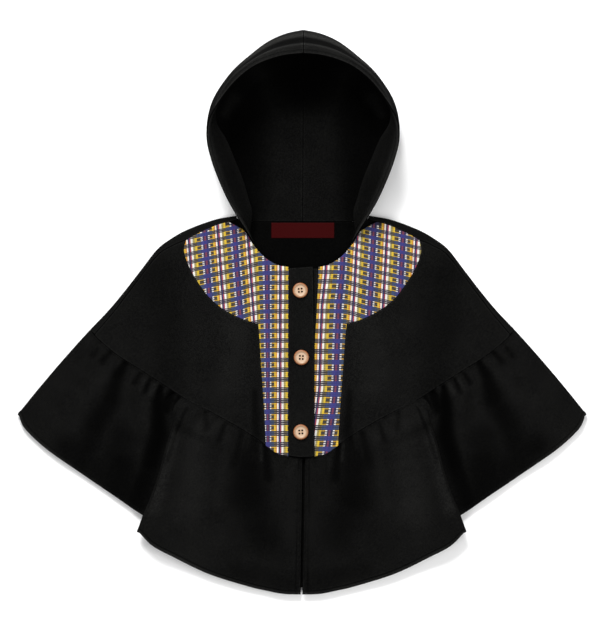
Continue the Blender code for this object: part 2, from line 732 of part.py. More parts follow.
def ruffle_rows(key, side, front_rows, parts):
    """Middle of the front ruffle's cloth, centre to side, with the drop of each column."""
    turn = math.pi * FOLD_RADIUS
    middle = np.array(RUFFLE_MIDDLE)
    outer = np.array(RUFFLE_SIDE)
    middle[0, 0] = FRONT_EDGE_TOP[key]
    outer[0, 0] = middle[-1, 0] + 2 * turn
    outer[-1, 0] = SEAM_LENGTH
    front = stops(SEAM_LINE, FRONT_EDGE_TOP[key], middle[-1, 0], parts)
    after = stops(SEAM_LINE, outer[0, 0], SEAM_LENGTH, parts)
    steps = np.array([0.25, 0.5, 0.75, 1.0, 1.33, 1.67, 2.0, 2.25, 2.5, 2.75])
    front_hem = through(middle[:, 1:], np.interp(front, middle[:, 0], np.arange(len(middle))))
    outer_hem = through(outer[:, 1:], np.interp(after, outer[:, 0], np.arange(len(outer))))
    along = np.concatenate([front, middle[-1, 0] + 2 * turn * steps / 3.0, after])
    seam = at_length(SEAM_LINE, along)
    below_seam = -square_to(SEAM_LINE)
    square = at_length_of(SEAM_LINE, below_seam, along)
    height = front_height(side * seam[:, 0], seam[:, 1])
    start, down, across = fold_line(front_rows)
    calm = smooth(np.abs(along - middle[-1, 0] - turn) / 12.0 - 0.75)
    calm = calm * smooth((SEAM_LENGTH - along) / 16.0)
    rows = []
    for number, v in enumerate(front_rows):
        out, slide, fall = fold_section(float(v), np.concatenate([[0.0], steps, [3.0]]))
        fold = start[number] + np.outer(out, across) + np.outer(slide, down)
        on_seam = at_length(SEAM_LINE, middle[-1, 0] + np.concatenate([[0.0], steps, [3.0]]) * 2 * turn / 3.0)
        fold = on_seam + (fold - on_seam) * smooth(v / 0.12)
        a = seam[: len(front)] + (front_hem - seam[: len(front)]) * v
        near = smooth((front - 100.0) / (front[-1] - 100.0))
        a = a + np.outer(near, fold[0] - a[-1])
        c = seam[-len(after):] + (outer_hem - seam[-len(after):]) * v
        near = 1.0 - smooth((after - after[0]) / 45.0)
        c = c + np.outer(near, fold[-1] - c[0])
        plan = np.vstack([a, fold[1:-1], c])
        base = height + (SIDE_HEIGHT - height) * smooth(v / 0.5)
        base[: len(front)] += (MIDDLE_HEIGHT - SIDE_HEIGHT) * float(smooth(v / 0.5))
        reach = smooth((front - 72.0) / (front[-1] - 72.0))
        raised = base.copy()
        raised[: len(front)] += reach * (fall[-1] - (MIDDLE_HEIGHT - SIDE_HEIGHT) * float(smooth(v / 0.5)))
        raised[len(front): len(front) + len(steps)] += fall[-1] - fall[1:-1]
        rows.append(np.column_stack([plan, raised]))
    rows = np.array(rows)
    drops = lengths_down(rows)
    share = np.asarray(front_rows)[:, None]
    begin = 0.0 if side > 0 else 1.3
    rows[..., 2] += calm * gather(along, drops, FRONT_GATHER, begin)
    for where, width, rise, strong in RUFFLE_FOLDS[key]:
        wave = np.exp(-(((along - where) / width) ** 2))
        fade = 1 - 0.45 * smooth((share - strong) / (1 - strong))
        rows[..., 2] += calm * rise * wave * smooth(share / strong) * fade
    rows[..., :2] += square * (SEAM_GAP / 2 * (1 - share[..., None]))
    return rows, drops, square, along


def at_length_of(line, values, wanted):
    """Values given at a polyline's corners, read at distances along it."""
    length = lengths(line)
    return np.stack([np.interp(wanted, length, column) for column in values.T], axis=-1)


def lengths_down(rows):
    """Distance from the seam down each column of a grid."""
    steps = np.linalg.norm(np.diff(rows[..., :2], axis=0), axis=2)
    return np.concatenate([np.zeros((1, rows.shape[1])), np.cumsum(steps, axis=0)])


def front_ruffle(name, side):
    """Gathered ruffle on the front, folded over itself, to the side seam below."""
    key = "left" if side > 0 else "right"
    grid, drops, square, along = ruffle_rows(key, side, FRONT_ROWS, 2)
    line, inwards = side_line(FRONT_ROWS)
    under = side_seam(FRONT_ROWS)
    total = drops[-1]
    rows = []
    for number, v in enumerate(FRONT_ROWS):
        row = [tuple(point) for point in grid[number]]
        half = float(hem_half(v, total[-1]))
        radius = (grid[number, -1, 2] - half) / 2
        row[-1] = (*(line[number] + inwards * radius), grid[number, -1, 2])
        for turn in (50, 10, -30, -60, -90):
            angle = math.radians(turn)
            x, y = line[number] + inwards * radius * (1 - math.cos(angle))
            row.append((x, y, half + radius * (1 + math.sin(angle))))
        x, y = under[number] - inwards * SEAM_GAP / 2 + square[-1] * (SEAM_GAP / 2 * (1 - v))
        row.append((x, y, half))
        rows.append(row)
    middle = mirrored(np.array(rows), side)
    total = np.concatenate([total, np.full(6, total[-1])])
    half = hem_half(FRONT_ROWS[:, None], total)
    reach = np.concatenate([along, np.full(6, along[-1])])
    pressed = smooth((reach - 60.0) / 50.0) * (1.0 - smooth((reach - 250.0) / 50.0))
    half = np.where(half > 1.0, 1.0 + (half - 1.0) * (1.0 - 0.5 * pressed), half)
    normal = sheet_normals(middle)
    below = np.concatenate([square, np.repeat(square[-1:], 6, axis=0)])
    below = np.column_stack([below * (side, 1.0), np.zeros(len(below))])
    normal[0] = without(normal[0], below)
    low = middle[..., 2] - half < 0.02
    normal[low] = np.array([0.0, 0.0, np.sign(normal[4, -1, 2])])
    sheet(name, middle, half, "black_wool", normal)


def back_ruffle():
    """Gathered ruffle on the back, flat on the surface."""
    table = np.array(BACK_RUFFLE)
    marks = lengths(BACK_SEAM)
    along = stops(BACK_SEAM, marks[1], marks[-1] - SIDE_RETURN, 3)
    table[0, 0] = along[0]
    table[-1, 0] = along[-1]
    place = np.interp(along, table[:, 0], np.arange(len(table)))
    values = through(table, place)
    share = BACK_ROWS[:, None]
    seam = at_length(BACK_SEAM, along)
    seam[0, 0] = 0.0
    plan = seam + (values[:, 1:3] - seam) * share[..., None]
    drop = np.linalg.norm(values[:, 1:3] - seam, axis=1)
    below = at_length_of(BACK_SEAM, -square_to(BACK_SEAM), along)
    below[0] = [0.0, -1.0]
    plan += below * (SEAM_GAP / 2 * (1 - share[..., None]))
    half = hem_half(share, drop)
    square = side_line(BACK_ROWS)[1]
    edge = side_seam(BACK_ROWS) + square * SEAM_GAP / 2
    edge += below[-1] * (SEAM_GAP / 2 * (1 - share))
    shift = edge - plan[:, -1]
    spread = smooth((along - along[-9]) / (along[-1] - along[-9]))
    plan += shift[:, None, :] * spread[None, :, None]
    calm = smooth((along[-1] - along) / 14.0)
    wave = gather(along, share * drop, BACK_GATHER, 0.4) * calm
    ripple = np.maximum(0.0, wave)
    middle = np.dstack([plan, half + ripple])
    middle = np.concatenate([mirrored(middle[:, :0:-1], -1.0), middle], axis=1)
    half = np.concatenate([half[:, :0:-1], half], axis=1)
    normal = sheet_normals(middle)
    low = middle[..., 2] - half < 0.02
    normal[low] = np.array([0.0, 0.0, np.sign(normal[3, len(along), 2])])
    square = np.concatenate([mirrored(below[:0:-1], -1.0), below])
    normal[0] = without(normal[0], np.column_stack([square, np.zeros(len(square))]))
    sheet("ruffle_back", middle, half, "black_wool", normal)


def hood_section(controls, half):
    """One line of the hood from its rim round to the centre of its back."""
    dense = through(controls, np.linspace(0.0, 4.0, 241))
    length = lengths(dense)
    band = float(np.interp(HEM_DEPTH, length, np.linspace(0.0, 4.0, 241)))
    after = float(np.interp(HEM_DEPTH + 1.2, length, np.linspace(0.0, 4.0, 241)))
    places = [0.0, band, after]
    places += [after + (1.0 - after) * share for share in HOOD_ROWS[1:4]]
    places += HOOD_ROWS[4:]
    line = through(controls, places)
    line[:, 2] = np.maximum(line[:, 2], half)
    return line


def hood(name, side):
    """Half of the hood, from the neck seam to the seam over the crown."""
    stations = np.array(HOOD)
    controls = stations[:, :12].reshape(-1, 4, 3)
    centre = np.zeros((len(stations), 1, 3))
    centre[:, 0, 1] = stations[:, 12]
    centre[:, 0, 2] = CLOTH / 2
    controls = np.concatenate([controls, centre], axis=1)
    place = np.linspace(0.0, len(stations) - 1.0, HOOD_COLUMNS)
    lines = through(controls, place)
    rows = np.stack([hood_section(line, CLOTH / 2) for line in lines], axis=1)
    rows[..., 0] = np.maximum(rows[..., 0], SEAM_GAP / 2)
    rows[:, -1, 0] = SEAM_GAP / 2
    rows[-1, :, 0] = SEAM_GAP / 2
    middle = mirrored(rows, side)
    normal = sheet_normals(middle)
    normal[:, -1, 0] = 0.0
    normal[-1, :, 0] = 0.0
    on_table = middle[..., 2] < CLOTH / 2 + 1e-6
    up = np.sign(normal[-1, 3, 2])
    normal[on_table] = np.array([0.0, 0.0, up])
    normal /= np.linalg.norm(normal, axis=2, keepdims=True)
    number = np.arange(rows.shape[0])[:, None]
    crown = smooth((place - 7.5) / 2.5)[None, :]
    fold = CROWN_FOLD * np.sin((number - 2) * math.pi / 2.5) * (number > 2) * (number < 10) * crown
    middle = middle - side * normal * fold[..., None]
    half = np.full(middle.shape[:2], CLOTH / 2)
    half[:2] += (HOOD_HEM - CLOTH) / 2 * smooth((place - 0.8) / 1.6)
    half[0] *= 0.7
    sheet(name, middle, half, "black_wool", normal)


def button(name, x, y, turn):
    """Four-hole button with a raised rim."""
    radius = BUTTON_DIAMETER / 2000.0
    thick = BUTTON_THICKNESS / 1000.0
    profile = [
        (0.0, 0.72 * thick),
        (0.62 * radius, 0.76 * thick),
        (0.76 * radius, thick),
        (0.93 * radius, 0.94 * thick),
        (radius, 0.55 * thick),
        (0.80 * radius, 0.0),
        (0.0, 0.0),
    ]
    mesh = bpy.data.meshes.new(name)
    mesh.from_pydata([(r, 0.0, z) for r, z in profile], [(i, i + 1) for i in range(6)], [])
    body = bpy.data.objects.new(name, mesh)
    body.data.materials.append(MATERIAL["button_wood"])
    CAPE.objects.link(body)
    level = float(front_height(x, y)) + BAND_LIFT + BAND_CLOTH / 2 + SEAM_GAP
    body.location = ((x + LEAN * y) / 1000.0, y / 1000.0, level / 1000.0)
    body.rotation_euler = (0.0, 0.0, math.radians(turn))
    lathe = body.modifiers.new("Turn", "SCREW")
    lathe.axis = "Z"
    lathe.steps = 18
    lathe.render_steps = 18
    lathe.use_merge_vertices = True
    lathe.merge_threshold = 0.00001
    lathe.use_normal_calculate = True
    for number in range(4):
        angle = math.radians(45.0 + 90.0 * number)
        bpy.ops.mesh.primitive_cylinder_add(
            vertices=8,
            radius=BUTTON_HOLE / 2000.0,
            depth=3 * thick,
        )
        cutter = bpy.context.object
        cutter.name = f"{name}_hole_{number + 1}"
        for collection in list(cutter.users_collection):
            collection.objects.unlink(cutter)
        CUTTERS.objects.link(cutter)
        cutter.parent = body
        spread = BUTTON_HOLE_SPREAD / 1000.0
        cutter.location = (spread * math.cos(angle), spread * math.sin(angle), thick / 2)
        cutter.hide_render = True
        cutter.display_type = "WIRE"
        cut = body.modifiers.new(f"Hole {number + 1}", "BOOLEAN")
        cut.operation = "DIFFERENCE"
        cut.solver = "EXACT"
        cut.object = cutter


def make_material(name, colour, roughness):
    """Plain surface of one kind of cloth or trim."""
    material = bpy.data.materials.new(name)
    material.use_nodes = True
    surface = material.node_tree.nodes["Principled BSDF"]
    surface.inputs["Base Color"].default_value = (*colour, 1.0)
    surface.inputs["Roughness"].default_value = roughness
    surface.inputs["Metallic"].default_value = 0.0
    return material


def label_height(x, y):
    """The label lies on the inside of the back."""
    return np.full(np.shape(x), CLOTH + SEAM_GAP + LABEL_CLOTH / 2)


for old in list(bpy.data.objects):
    bpy.data.objects.remove(old, do_unlink=True)

CAPE = bpy.data.collections.new("cape")
CUTTERS = bpy.data.collections.new("cape_cutters")
bpy.context.scene.collection.children.link(CAPE)
bpy.context.scene.collection.children.link(CUTTERS)
CUTTERS.hide_render = True
MATERIAL = {name: make_material(name, *look) for name, look in MATERIALS.items()}

back_panel()
back_ruffle()
for side_name, direction in (("left", 1.0), ("right", -1.0)):
    front_panel(f"front_{side_name}", direction)
    bib(f"bib_{side_name}", direction)
    front_ruffle(f"ruffle_front_{side_name}", direction)
    hood(f"hood_{side_name}", direction)
band("band_under", BAND_UNDER, [0.0, 0.5, 1.0], 0.0, CLOTH / 2)
band("band_top", BAND_TOP, [0.0, 0.07, 0.14, 0.21, 0.55, 0.8, 1.0], BAND_LIFT, BAND_CLOTH / 2)
panel("neck_label", LABEL, 40.0, label_height, LABEL_CLOTH / 2, "label_satin", 0.0)
for button_name, button_x, button_y, button_turn in BUTTONS:
    button(button_name, button_x, button_y, button_turn)
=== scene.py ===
"""Looks of the hooded capelet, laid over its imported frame.

Each piece of cloth is made again from the same tables as its solid, with more rows and
columns, rounded edges, turned hems, gathers and soft creases, and stands for that solid.
Buttons, thread, buttonholes and topstitching are added.

Tables are in millimetres for the wearer's left half at +X: x out from the centre line,
y from the middle of the length towards the hood, z up to the middle of the cloth.
"""

import logging
import math
from collections.abc import Callable
from dataclasses import dataclass, field
from enum import Enum

import bpy
import numpy as np
from mathutils import Matrix
from mathutils.geometry import delaunay_2d_cdt


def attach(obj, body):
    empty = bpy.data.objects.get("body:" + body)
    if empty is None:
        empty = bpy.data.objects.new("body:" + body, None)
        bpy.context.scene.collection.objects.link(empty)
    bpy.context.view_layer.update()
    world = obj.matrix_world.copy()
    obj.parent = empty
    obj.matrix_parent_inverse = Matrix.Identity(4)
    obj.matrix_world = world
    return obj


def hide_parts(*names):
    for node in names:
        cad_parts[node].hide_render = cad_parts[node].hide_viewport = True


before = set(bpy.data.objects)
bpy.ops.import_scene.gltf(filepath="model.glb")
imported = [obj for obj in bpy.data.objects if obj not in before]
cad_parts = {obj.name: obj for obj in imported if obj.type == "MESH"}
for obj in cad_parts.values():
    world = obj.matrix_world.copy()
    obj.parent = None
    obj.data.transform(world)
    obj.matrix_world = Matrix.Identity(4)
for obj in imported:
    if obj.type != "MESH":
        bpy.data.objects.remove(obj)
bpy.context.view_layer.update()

LOG = logging.getLogger("capelet")
MM = 0.001
Array = np.ndarray
Table = tuple[tuple[float, ...], ...]
Faces = list[tuple[int, ...]]
Colour = tuple[float, float, float, float]
Material = bpy.types.Material
Tree = bpy.types.NodeTree
Socket = bpy.types.NodeSocket
# Rows of points near a border, as distances from it
BORDER = np.array([0.0, 0.3, 0.8, 1.6])
# Points on a dense copy of a section of the hood, and steps on each span of a dense line
DENSE, SPAN_STEPS = 241, 24
FAR, TINY = 1e9, 1e-9


class Side(Enum):
    """The wearer's side a piece lies on."""

    LEFT = 1.0
    RIGHT = -1.0

    @property
    def word(self) -> str:
        """Name used in the node's name."""
        return self.name.lower()


class Lay(Enum):
    """How a sheet of cloth lies."""

    LAID = "laid"
    GATHERED = "gathered"
    DRAPED = "draped"


# Curves


def smooth(value: Array | float) -> Array:
    """Ease from 0 to 1 with level ends."""
    value = np.clip(value, 0.0, 1.0)
    return value * value * (3.0 - 2.0 * value)


def ease(value: Array | float, start: float, width: float) -> Array:
    """Ease from 0 at a start to 1 a width further on."""
    return smooth((value - start) / width)


def bump(value: Array | float, centre: float, width: float) -> Array:
    """Height of a soft ridge of that half width at a place."""
    return np.exp(-(((np.asarray(value) - centre) / width) ** 2))


def unit(vectors: Array) -> Array:
    """Vectors brought to length 1."""
    return vectors / np.maximum(np.linalg.norm(vectors, axis=-1, keepdims=True), TINY)


def through(table: Table | Array, positions: Array) -> Array:
    """Values on a smooth curve through the rows of a table.

    Args:
        table: Rows of numbers.
        positions: Row positions, fractions between two rows.

    Returns:
        One row of values for each position.
    """
    rows = np.asarray(table, dtype=float)
    padded = np.concatenate([2 * rows[:1] - rows[1:2], rows, 2 * rows[-1:] - rows[-2:-1]])
    positions = np.clip(np.asarray(positions, dtype=float), 0, len(rows) - 1)
    index = np.minimum(positions.astype(int), len(rows) - 2)
    t = (positions - index).reshape((-1,) + (1,) * (rows.ndim - 1))
    before, start, end, after = (padded[index + step] for step in range(4))
    return (
        (2 * t**3 - 3 * t**2 + 1) * start + (t**3 - 2 * t**2 + t) * (end - before) / 2
        + (3 * t**2 - 2 * t**3) * end + (t**3 - t**2) * (after - start) / 2
    )


def fine(points: Table | Array) -> Array:
    """A dense polyline on the smooth curve through a table of points."""
    return through(points, np.linspace(0.0, len(points) - 1, SPAN_STEPS * (len(points) - 1) + 1))


def lengths(points: Array) -> Array:
    """Distance along a polyline at each of its points."""
    return np.append(0.0, np.cumsum(np.linalg.norm(np.diff(points, axis=0), axis=1)))


def at_length(points: Array, wanted: Array | list[float], values: Array | None = None) -> Array:
    """Points of a polyline, or values given at its points, at distances along it."""
    columns = np.asarray(points if values is None else values).T
    return np.stack([np.interp(wanted, lengths(points), column) for column in columns], axis=-1)


def evenly(points: Array, count: int) -> Array:
    """Points at even distances along a polyline."""
    return at_length(points, np.linspace(0.0, lengths(points)[-1], count))


def left_of(vectors: Array) -> Array:
    """Unit vectors a quarter turn to the left of others."""
    return unit(np.stack([-vectors[:, 1], vectors[:, 0]], axis=1))


def without(normal: Array, direction: Array) -> Array:
    """Unit normals with their part along a direction taken out."""
    direction = unit(direction)
    return unit(normal - (normal * direction).sum(-1, keepdims=True) * direction)


def mirrored(points: Array, side: Side) -> Array:
    """Points of the left half, turned over for the right."""
    return points * np.array([side.value, 1.0, 1.0])[:points.shape[-1]]


def rounded(edge: Array, reach: float, least: float) -> Array:
    """Share of the full thickness left near a border, on a quarter of an ellipse.

    Args:
        edge: Distances from the border, in millimetres.
        reach: Distance at which the cloth has its full thickness.
        least: Share that is left at the border itself.

    Returns:
        The share at each distance.
    """
    share = np.clip(edge / reach, 0.0, 1.0)
    return least + (1.0 - least) * np.sqrt(1.0 - (1.0 - share) ** 2)


def strokes(x: Array, y: Array, table: Table) -> tuple[Array, Array]:
    """Soft hollows and ridges drawn as tapered strokes.

    Args:
        x: Places across, on the left half.
        y: Places up.
        table: Start x and y, end x and y, half width at start and end, rise, tone of painted light and
            shade.

    Returns:
        The rise in millimetres and the painted light and shade at each place.
    """
    layers = []
    for from_x, from_y, to_x, to_y, first_width, last_width, height, shade in table:
        step_x, step_y = to_x - from_x, to_y - from_y
        share = ((x - from_x) * step_x + (y - from_y) * step_y) / (step_x**2 + step_y**2)
        share = np.clip(share, 0.0, 1.0)
        away = np.hypot(x - from_x - share * step_x, y - from_y - share * step_y)
        shape = np.exp(-((away / (first_width + (last_width - first_width) * share)) ** 2.6))
        layers.append((height * shape, shade * shape))
    both = np.array(layers)
    return tuple(both.min(axis=0) + both.max(axis=0))


# Meshes


def loft(rings: Array, tips: Array | None = None) -> tuple[Array, Faces]:
    """Close a row of rings into a body.

    Args:
        rings: Points, rings by places round them.
        tips: A point inside the first and the last ring, where the ends are fans.

    Returns:
        Its points and its faces.
    """
    count, around = rings.shape[:2]
    pairs = [(step, (step + 1) % around) for step in range(around)]
    end, tip = (count - 1) * around, count * around
    lows = range(0, end, around)
    faces = [(low + a, low + b, low + around + b, low + around + a) for low in lows for a, b in pairs]
    points = rings.reshape(-1, 3)
    if tips is None:
        return points, faces + [tuple(range(around))[::-1], tuple(range(end, tip))]
    faces += [(tip, b, a) for a, b in pairs] + [(tip + 1, end + a, end + b) for a, b in pairs]
    return np.vstack([points, tips]), faces


@dataclass
class Sheet:
    """Cloth as one layer of points with a thickness, before it is closed."""

    middle: Array
    faces: Faces
    normal: Array
    half: Array
    edge: Array
    tone: Array | None = None
    weave: Array | None = None


def grid_normals(middle: Array) -> Array:
    """Unit normals of a grid of points."""
    return unit(np.cross(np.gradient(middle, axis=1), np.gradient(middle, axis=0)))


def grid_lengths(middle: Array) -> Array:
    """Distance down each column of a grid, at each of its points."""
    return np.pad(np.cumsum(np.linalg.norm(np.diff(middle, axis=0), axis=2), axis=0), ((1, 0), (0, 0)))


def grid_edge(middle: Array, free: str = "tblr") -> Array:
    """Distance of each grid point from the nearest free border.

    Args:
        middle: Grid of points, rows by columns.
        free: Which borders count: t first row, b last row, l first column, r last.

    Returns:
        Distances along the grid's lines, in millimetres.
    """
    down, over = grid_lengths(middle), grid_lengths(middle.swapaxes(0, 1)).T
    ways = {"t": down, "b": down[-1:] - down, "l": over, "r": over[:, -1:] - over}
    return np.min([ways[letter] for letter in free], axis=0)


def from_grid(middle: Array, half: Array, normal: Array, edge: Array) -> Sheet:
    """Make a sheet of a grid of points.

    Args:
        middle: Points of the middle of the cloth, rows by columns.
        half: Half the thickness at each point.
        normal: Unit normal at each point.
        edge: Distance of each point from a free border.

    Returns:
        The sheet, one quad a cell.
    """
    corner = np.arange(middle.shape[0] * middle.shape[1]).reshape(middle.shape[:2])
    quads = np.stack([corner[:-1, :-1], corner[:-1, 1:], corner[1:, 1:], corner[1:, :-1]], axis=-1)
    faces = [tuple(quad) for quad in quads.reshape(-1, 4).tolist()]
    return Sheet(middle.reshape(-1, 3), faces, normal.reshape(-1, 3), half.reshape(-1), edge.reshape(-1))


def drawn_in(outline: Array, amount: float) -> Array:
    """Move a counter-clockwise outline inwards.

    Args:
        outline: Its corners, in order.
        amount: How far it moves.

    Returns:
        The moved corners.
    """
    after = left_of(np.roll(outline, -1, axis=0) - outline)
    both = unit(after + left_of(outline - np.roll(outline, 1, axis=0)))
    return outline + both * (amount / np.maximum((both * after).sum(1), 0.4))[:, None]


def nearest_to(spots: Array, line: Array) -> Array:
    """Measure how far spots are from a polyline.

    Args:
        spots: Places, x and y.
        line: Points of the polyline.

    Returns:
        The distance of each spot.
    """
    nearest = np.full(len(spots), FAR)
    for first, step in zip(line[:-1], np.diff(line, axis=0)):
        offset = spots - first
        share = np.clip(offset @ step / (step @ step), 0.0, 1.0)
        nearest = np.minimum(nearest, np.linalg.norm(offset - share[:, None] * step, axis=1))
    return nearest


def is_inside(spots: Array, closed: Array) -> Array:
    """Find the spots inside a closed polyline, by the sides to the right of each.

    Args:
        spots: Places, x and y.
        closed: Points of the polyline, the first one again at its end.

    Returns:
        Whether each spot is inside.
    """
    crossings = np.zeros(len(spots), dtype=int)
    for first, last in zip(closed[:-1], closed[1:]):
        spans = (first[1] > spots[:, 1]) != (last[1] > spots[:, 1])
        rise = last[1] - first[1] or 1.0
        crossing = first[0] + (spots[:, 1] - first[1]) / rise * (last[0] - first[0])
        crossings += spans & (crossing > spots[:, 0])
    return crossings % 2 == 1


def from_outline(outline: Array, spacing: float, height: Callable, half: float, gap: float) -> Sheet:
    """Cut a sheet to an outline and lay it at a height.

    Args:
        outline: Corners of the cut, in order.
        spacing: Distance between points inside.
        height: Function of x and y that gives the height of the cloth's middle.
        half: Half the thickness.
        gap: How far the cut lies in from the outline.

    Returns:
        The sheet, of triangles, with rings of points along its edge.
    """
    turn = np.roll(outline, -1, axis=0)
    if (outline[:, 0] * turn[:, 1] - turn[:, 0] * outline[:, 1]).sum() < 0:
        outline = outline[::-1]
    outline = drawn_in(outline, gap)
    closed = np.vstack([outline, outline[:1]])
    low, high = outline.min(axis=0), outline.max(axis=0)
    x, y = np.meshgrid(np.arange(low[0], high[0], spacing), np.arange(low[1], high[1], spacing * 0.866))
    x[1::2] += spacing / 2
    rings = [(drawn_in(outline, amount), 0.9 * amount) for amount in BORDER[1:]]
    rings.append((np.stack([x.ravel(), y.ravel()], axis=1), BORDER[-1] + 0.45 * spacing))
    plan = [outline]
    for spots, clear in rings:
        plan.append(spots[is_inside(spots, closed) & (nearest_to(spots, closed) > clear)])
    made = delaunay_2d_cdt(np.vstack(plan).tolist(), [], [list(range(len(outline)))], 1, 1e-6)
    flat = np.array([tuple(point) for point in made[0]])
    x, y = flat.T
    step = 0.5
    fall = [height(x - step, y) - height(x + step, y), height(x, y - step) - height(x, y + step)]
    normal = unit(np.column_stack([*fall, np.full(len(x), 2 * step)]))
    triangles = [tuple(face) for face in made[2]]
    return Sheet(np.column_stack([flat, height(x, y)]), triangles, normal, np.full(len(x), half),
                 nearest_to(flat, closed))


def signed_volume(points: Array, faces: Faces) -> float:
    """Volume of a closed mesh, negative when its faces look inwards."""
    corners = points[np.array([(face[0], b, c) for face in faces for b, c in zip(face[1:-1], face[2:])])]
    return float((corners[:, 0] * np.cross(corners[:, 1], corners[:, 2])).sum() / 6.0)


@dataclass(frozen=True)
class Cut:
    """What a sheet was cut to, in metres, and how it lies."""

    flat: tuple[float, float]
    area: float | None
    rests_on: str
    held: Lay = Lay.LAID


@dataclass
class Workroom:
    """Where finished meshes are put together and joined to the frame."""

    # How far the garment lies askew: x gained for each y
    lean: float = 0.0034
    collection: bpy.types.Collection = field(init=False)

    def __post_init__(self) -> None:
        """Make the collection that holds the pieces."""
        self.collection = bpy.data.collections.new("capelet_looks")
        bpy.context.scene.collection.children.link(self.collection)

    def body(self, name: str, points: Array, faces: Faces, finish: Material, slot: str,
             marks: dict[str, Array] | None = None) -> bpy.types.Object:
        """Make one object from points in millimetres.

        Args:
            name: Name of the piece.
            points: Its points.
            faces: Its faces, as rows of point numbers.
            finish: Its material.
            slot: Its material slot in the record; not used.
            marks: Values kept at the points for the material to read.

        Returns:
            The new object, riding on the garment.
        """
        points = points + np.outer(points[:, 1], (self.lean, 0.0, 0.0))
        if signed_volume(points, faces) < 0:
            faces = [face[::-1] for face in faces]
        mesh = bpy.data.meshes.new(name)
        mesh.from_pydata((points * MM).tolist(), [], faces)
        mesh.update()
        mesh.shade_smooth()
        mesh.materials.append(finish)
        for mark, values in (marks or {}).items():
            kind, where = ("FLOAT", "value") if values.ndim == 1 else ("FLOAT_VECTOR", "vector")
            layer = mesh.attributes.new(mark, kind, "POINT")
            layer.data.foreach_set(where, np.ascontiguousarray(values, dtype=np.float32).ravel())
        piece = bpy.data.objects.new(name, mesh)
        self.collection.objects.link(piece)
        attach(piece, "root")
        LOG.info("%s: %d faces", name, len(faces))
        return piece

    def cloth(self, name: str, sheet: Sheet, finish: Material, cut: Cut, slot: str = "black_wool") -> None:
        """Close a sheet into cloth that stands for the solid of the same name.

        Args:
            name: Name of the node.
            sheet: The cloth.
            finish: Its material.
            cut: Its flat size and how it lies; not used.
            slot: Its material slot in the record.
        """
        count = len(sheet.middle)
        lift = sheet.normal * sheet.half[:, None]
        faces = sheet.faces + [tuple(count + corner for corner in reversed(face)) for face in sheet.faces]
        sides = {(a, b) for face in sheet.faces for a, b in zip(face, face[1:] + face[:1])}
        faces += [(b, a, count + a, count + b) for a, b in sorted(sides) if (b, a) not in sides]
        tone = np.zeros(count) if sheet.tone is None else sheet.tone.reshape(-1)
        # Painted light and shade of the folds, seams and hood, kept at the points for the material
        marks = {"edge_mm": np.tile(sheet.edge, 2), "painted_shading": np.tile(tone, 2)}
        if sheet.weave is not None:
            marks["weave_mm"] = np.tile(sheet.weave, (2, 1))
        points = np.concatenate([sheet.middle + lift, sheet.middle - lift])
        piece = self.body(f"{name}_cloth", points, faces, finish, slot, marks)
        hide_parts(name)


# The paper pattern


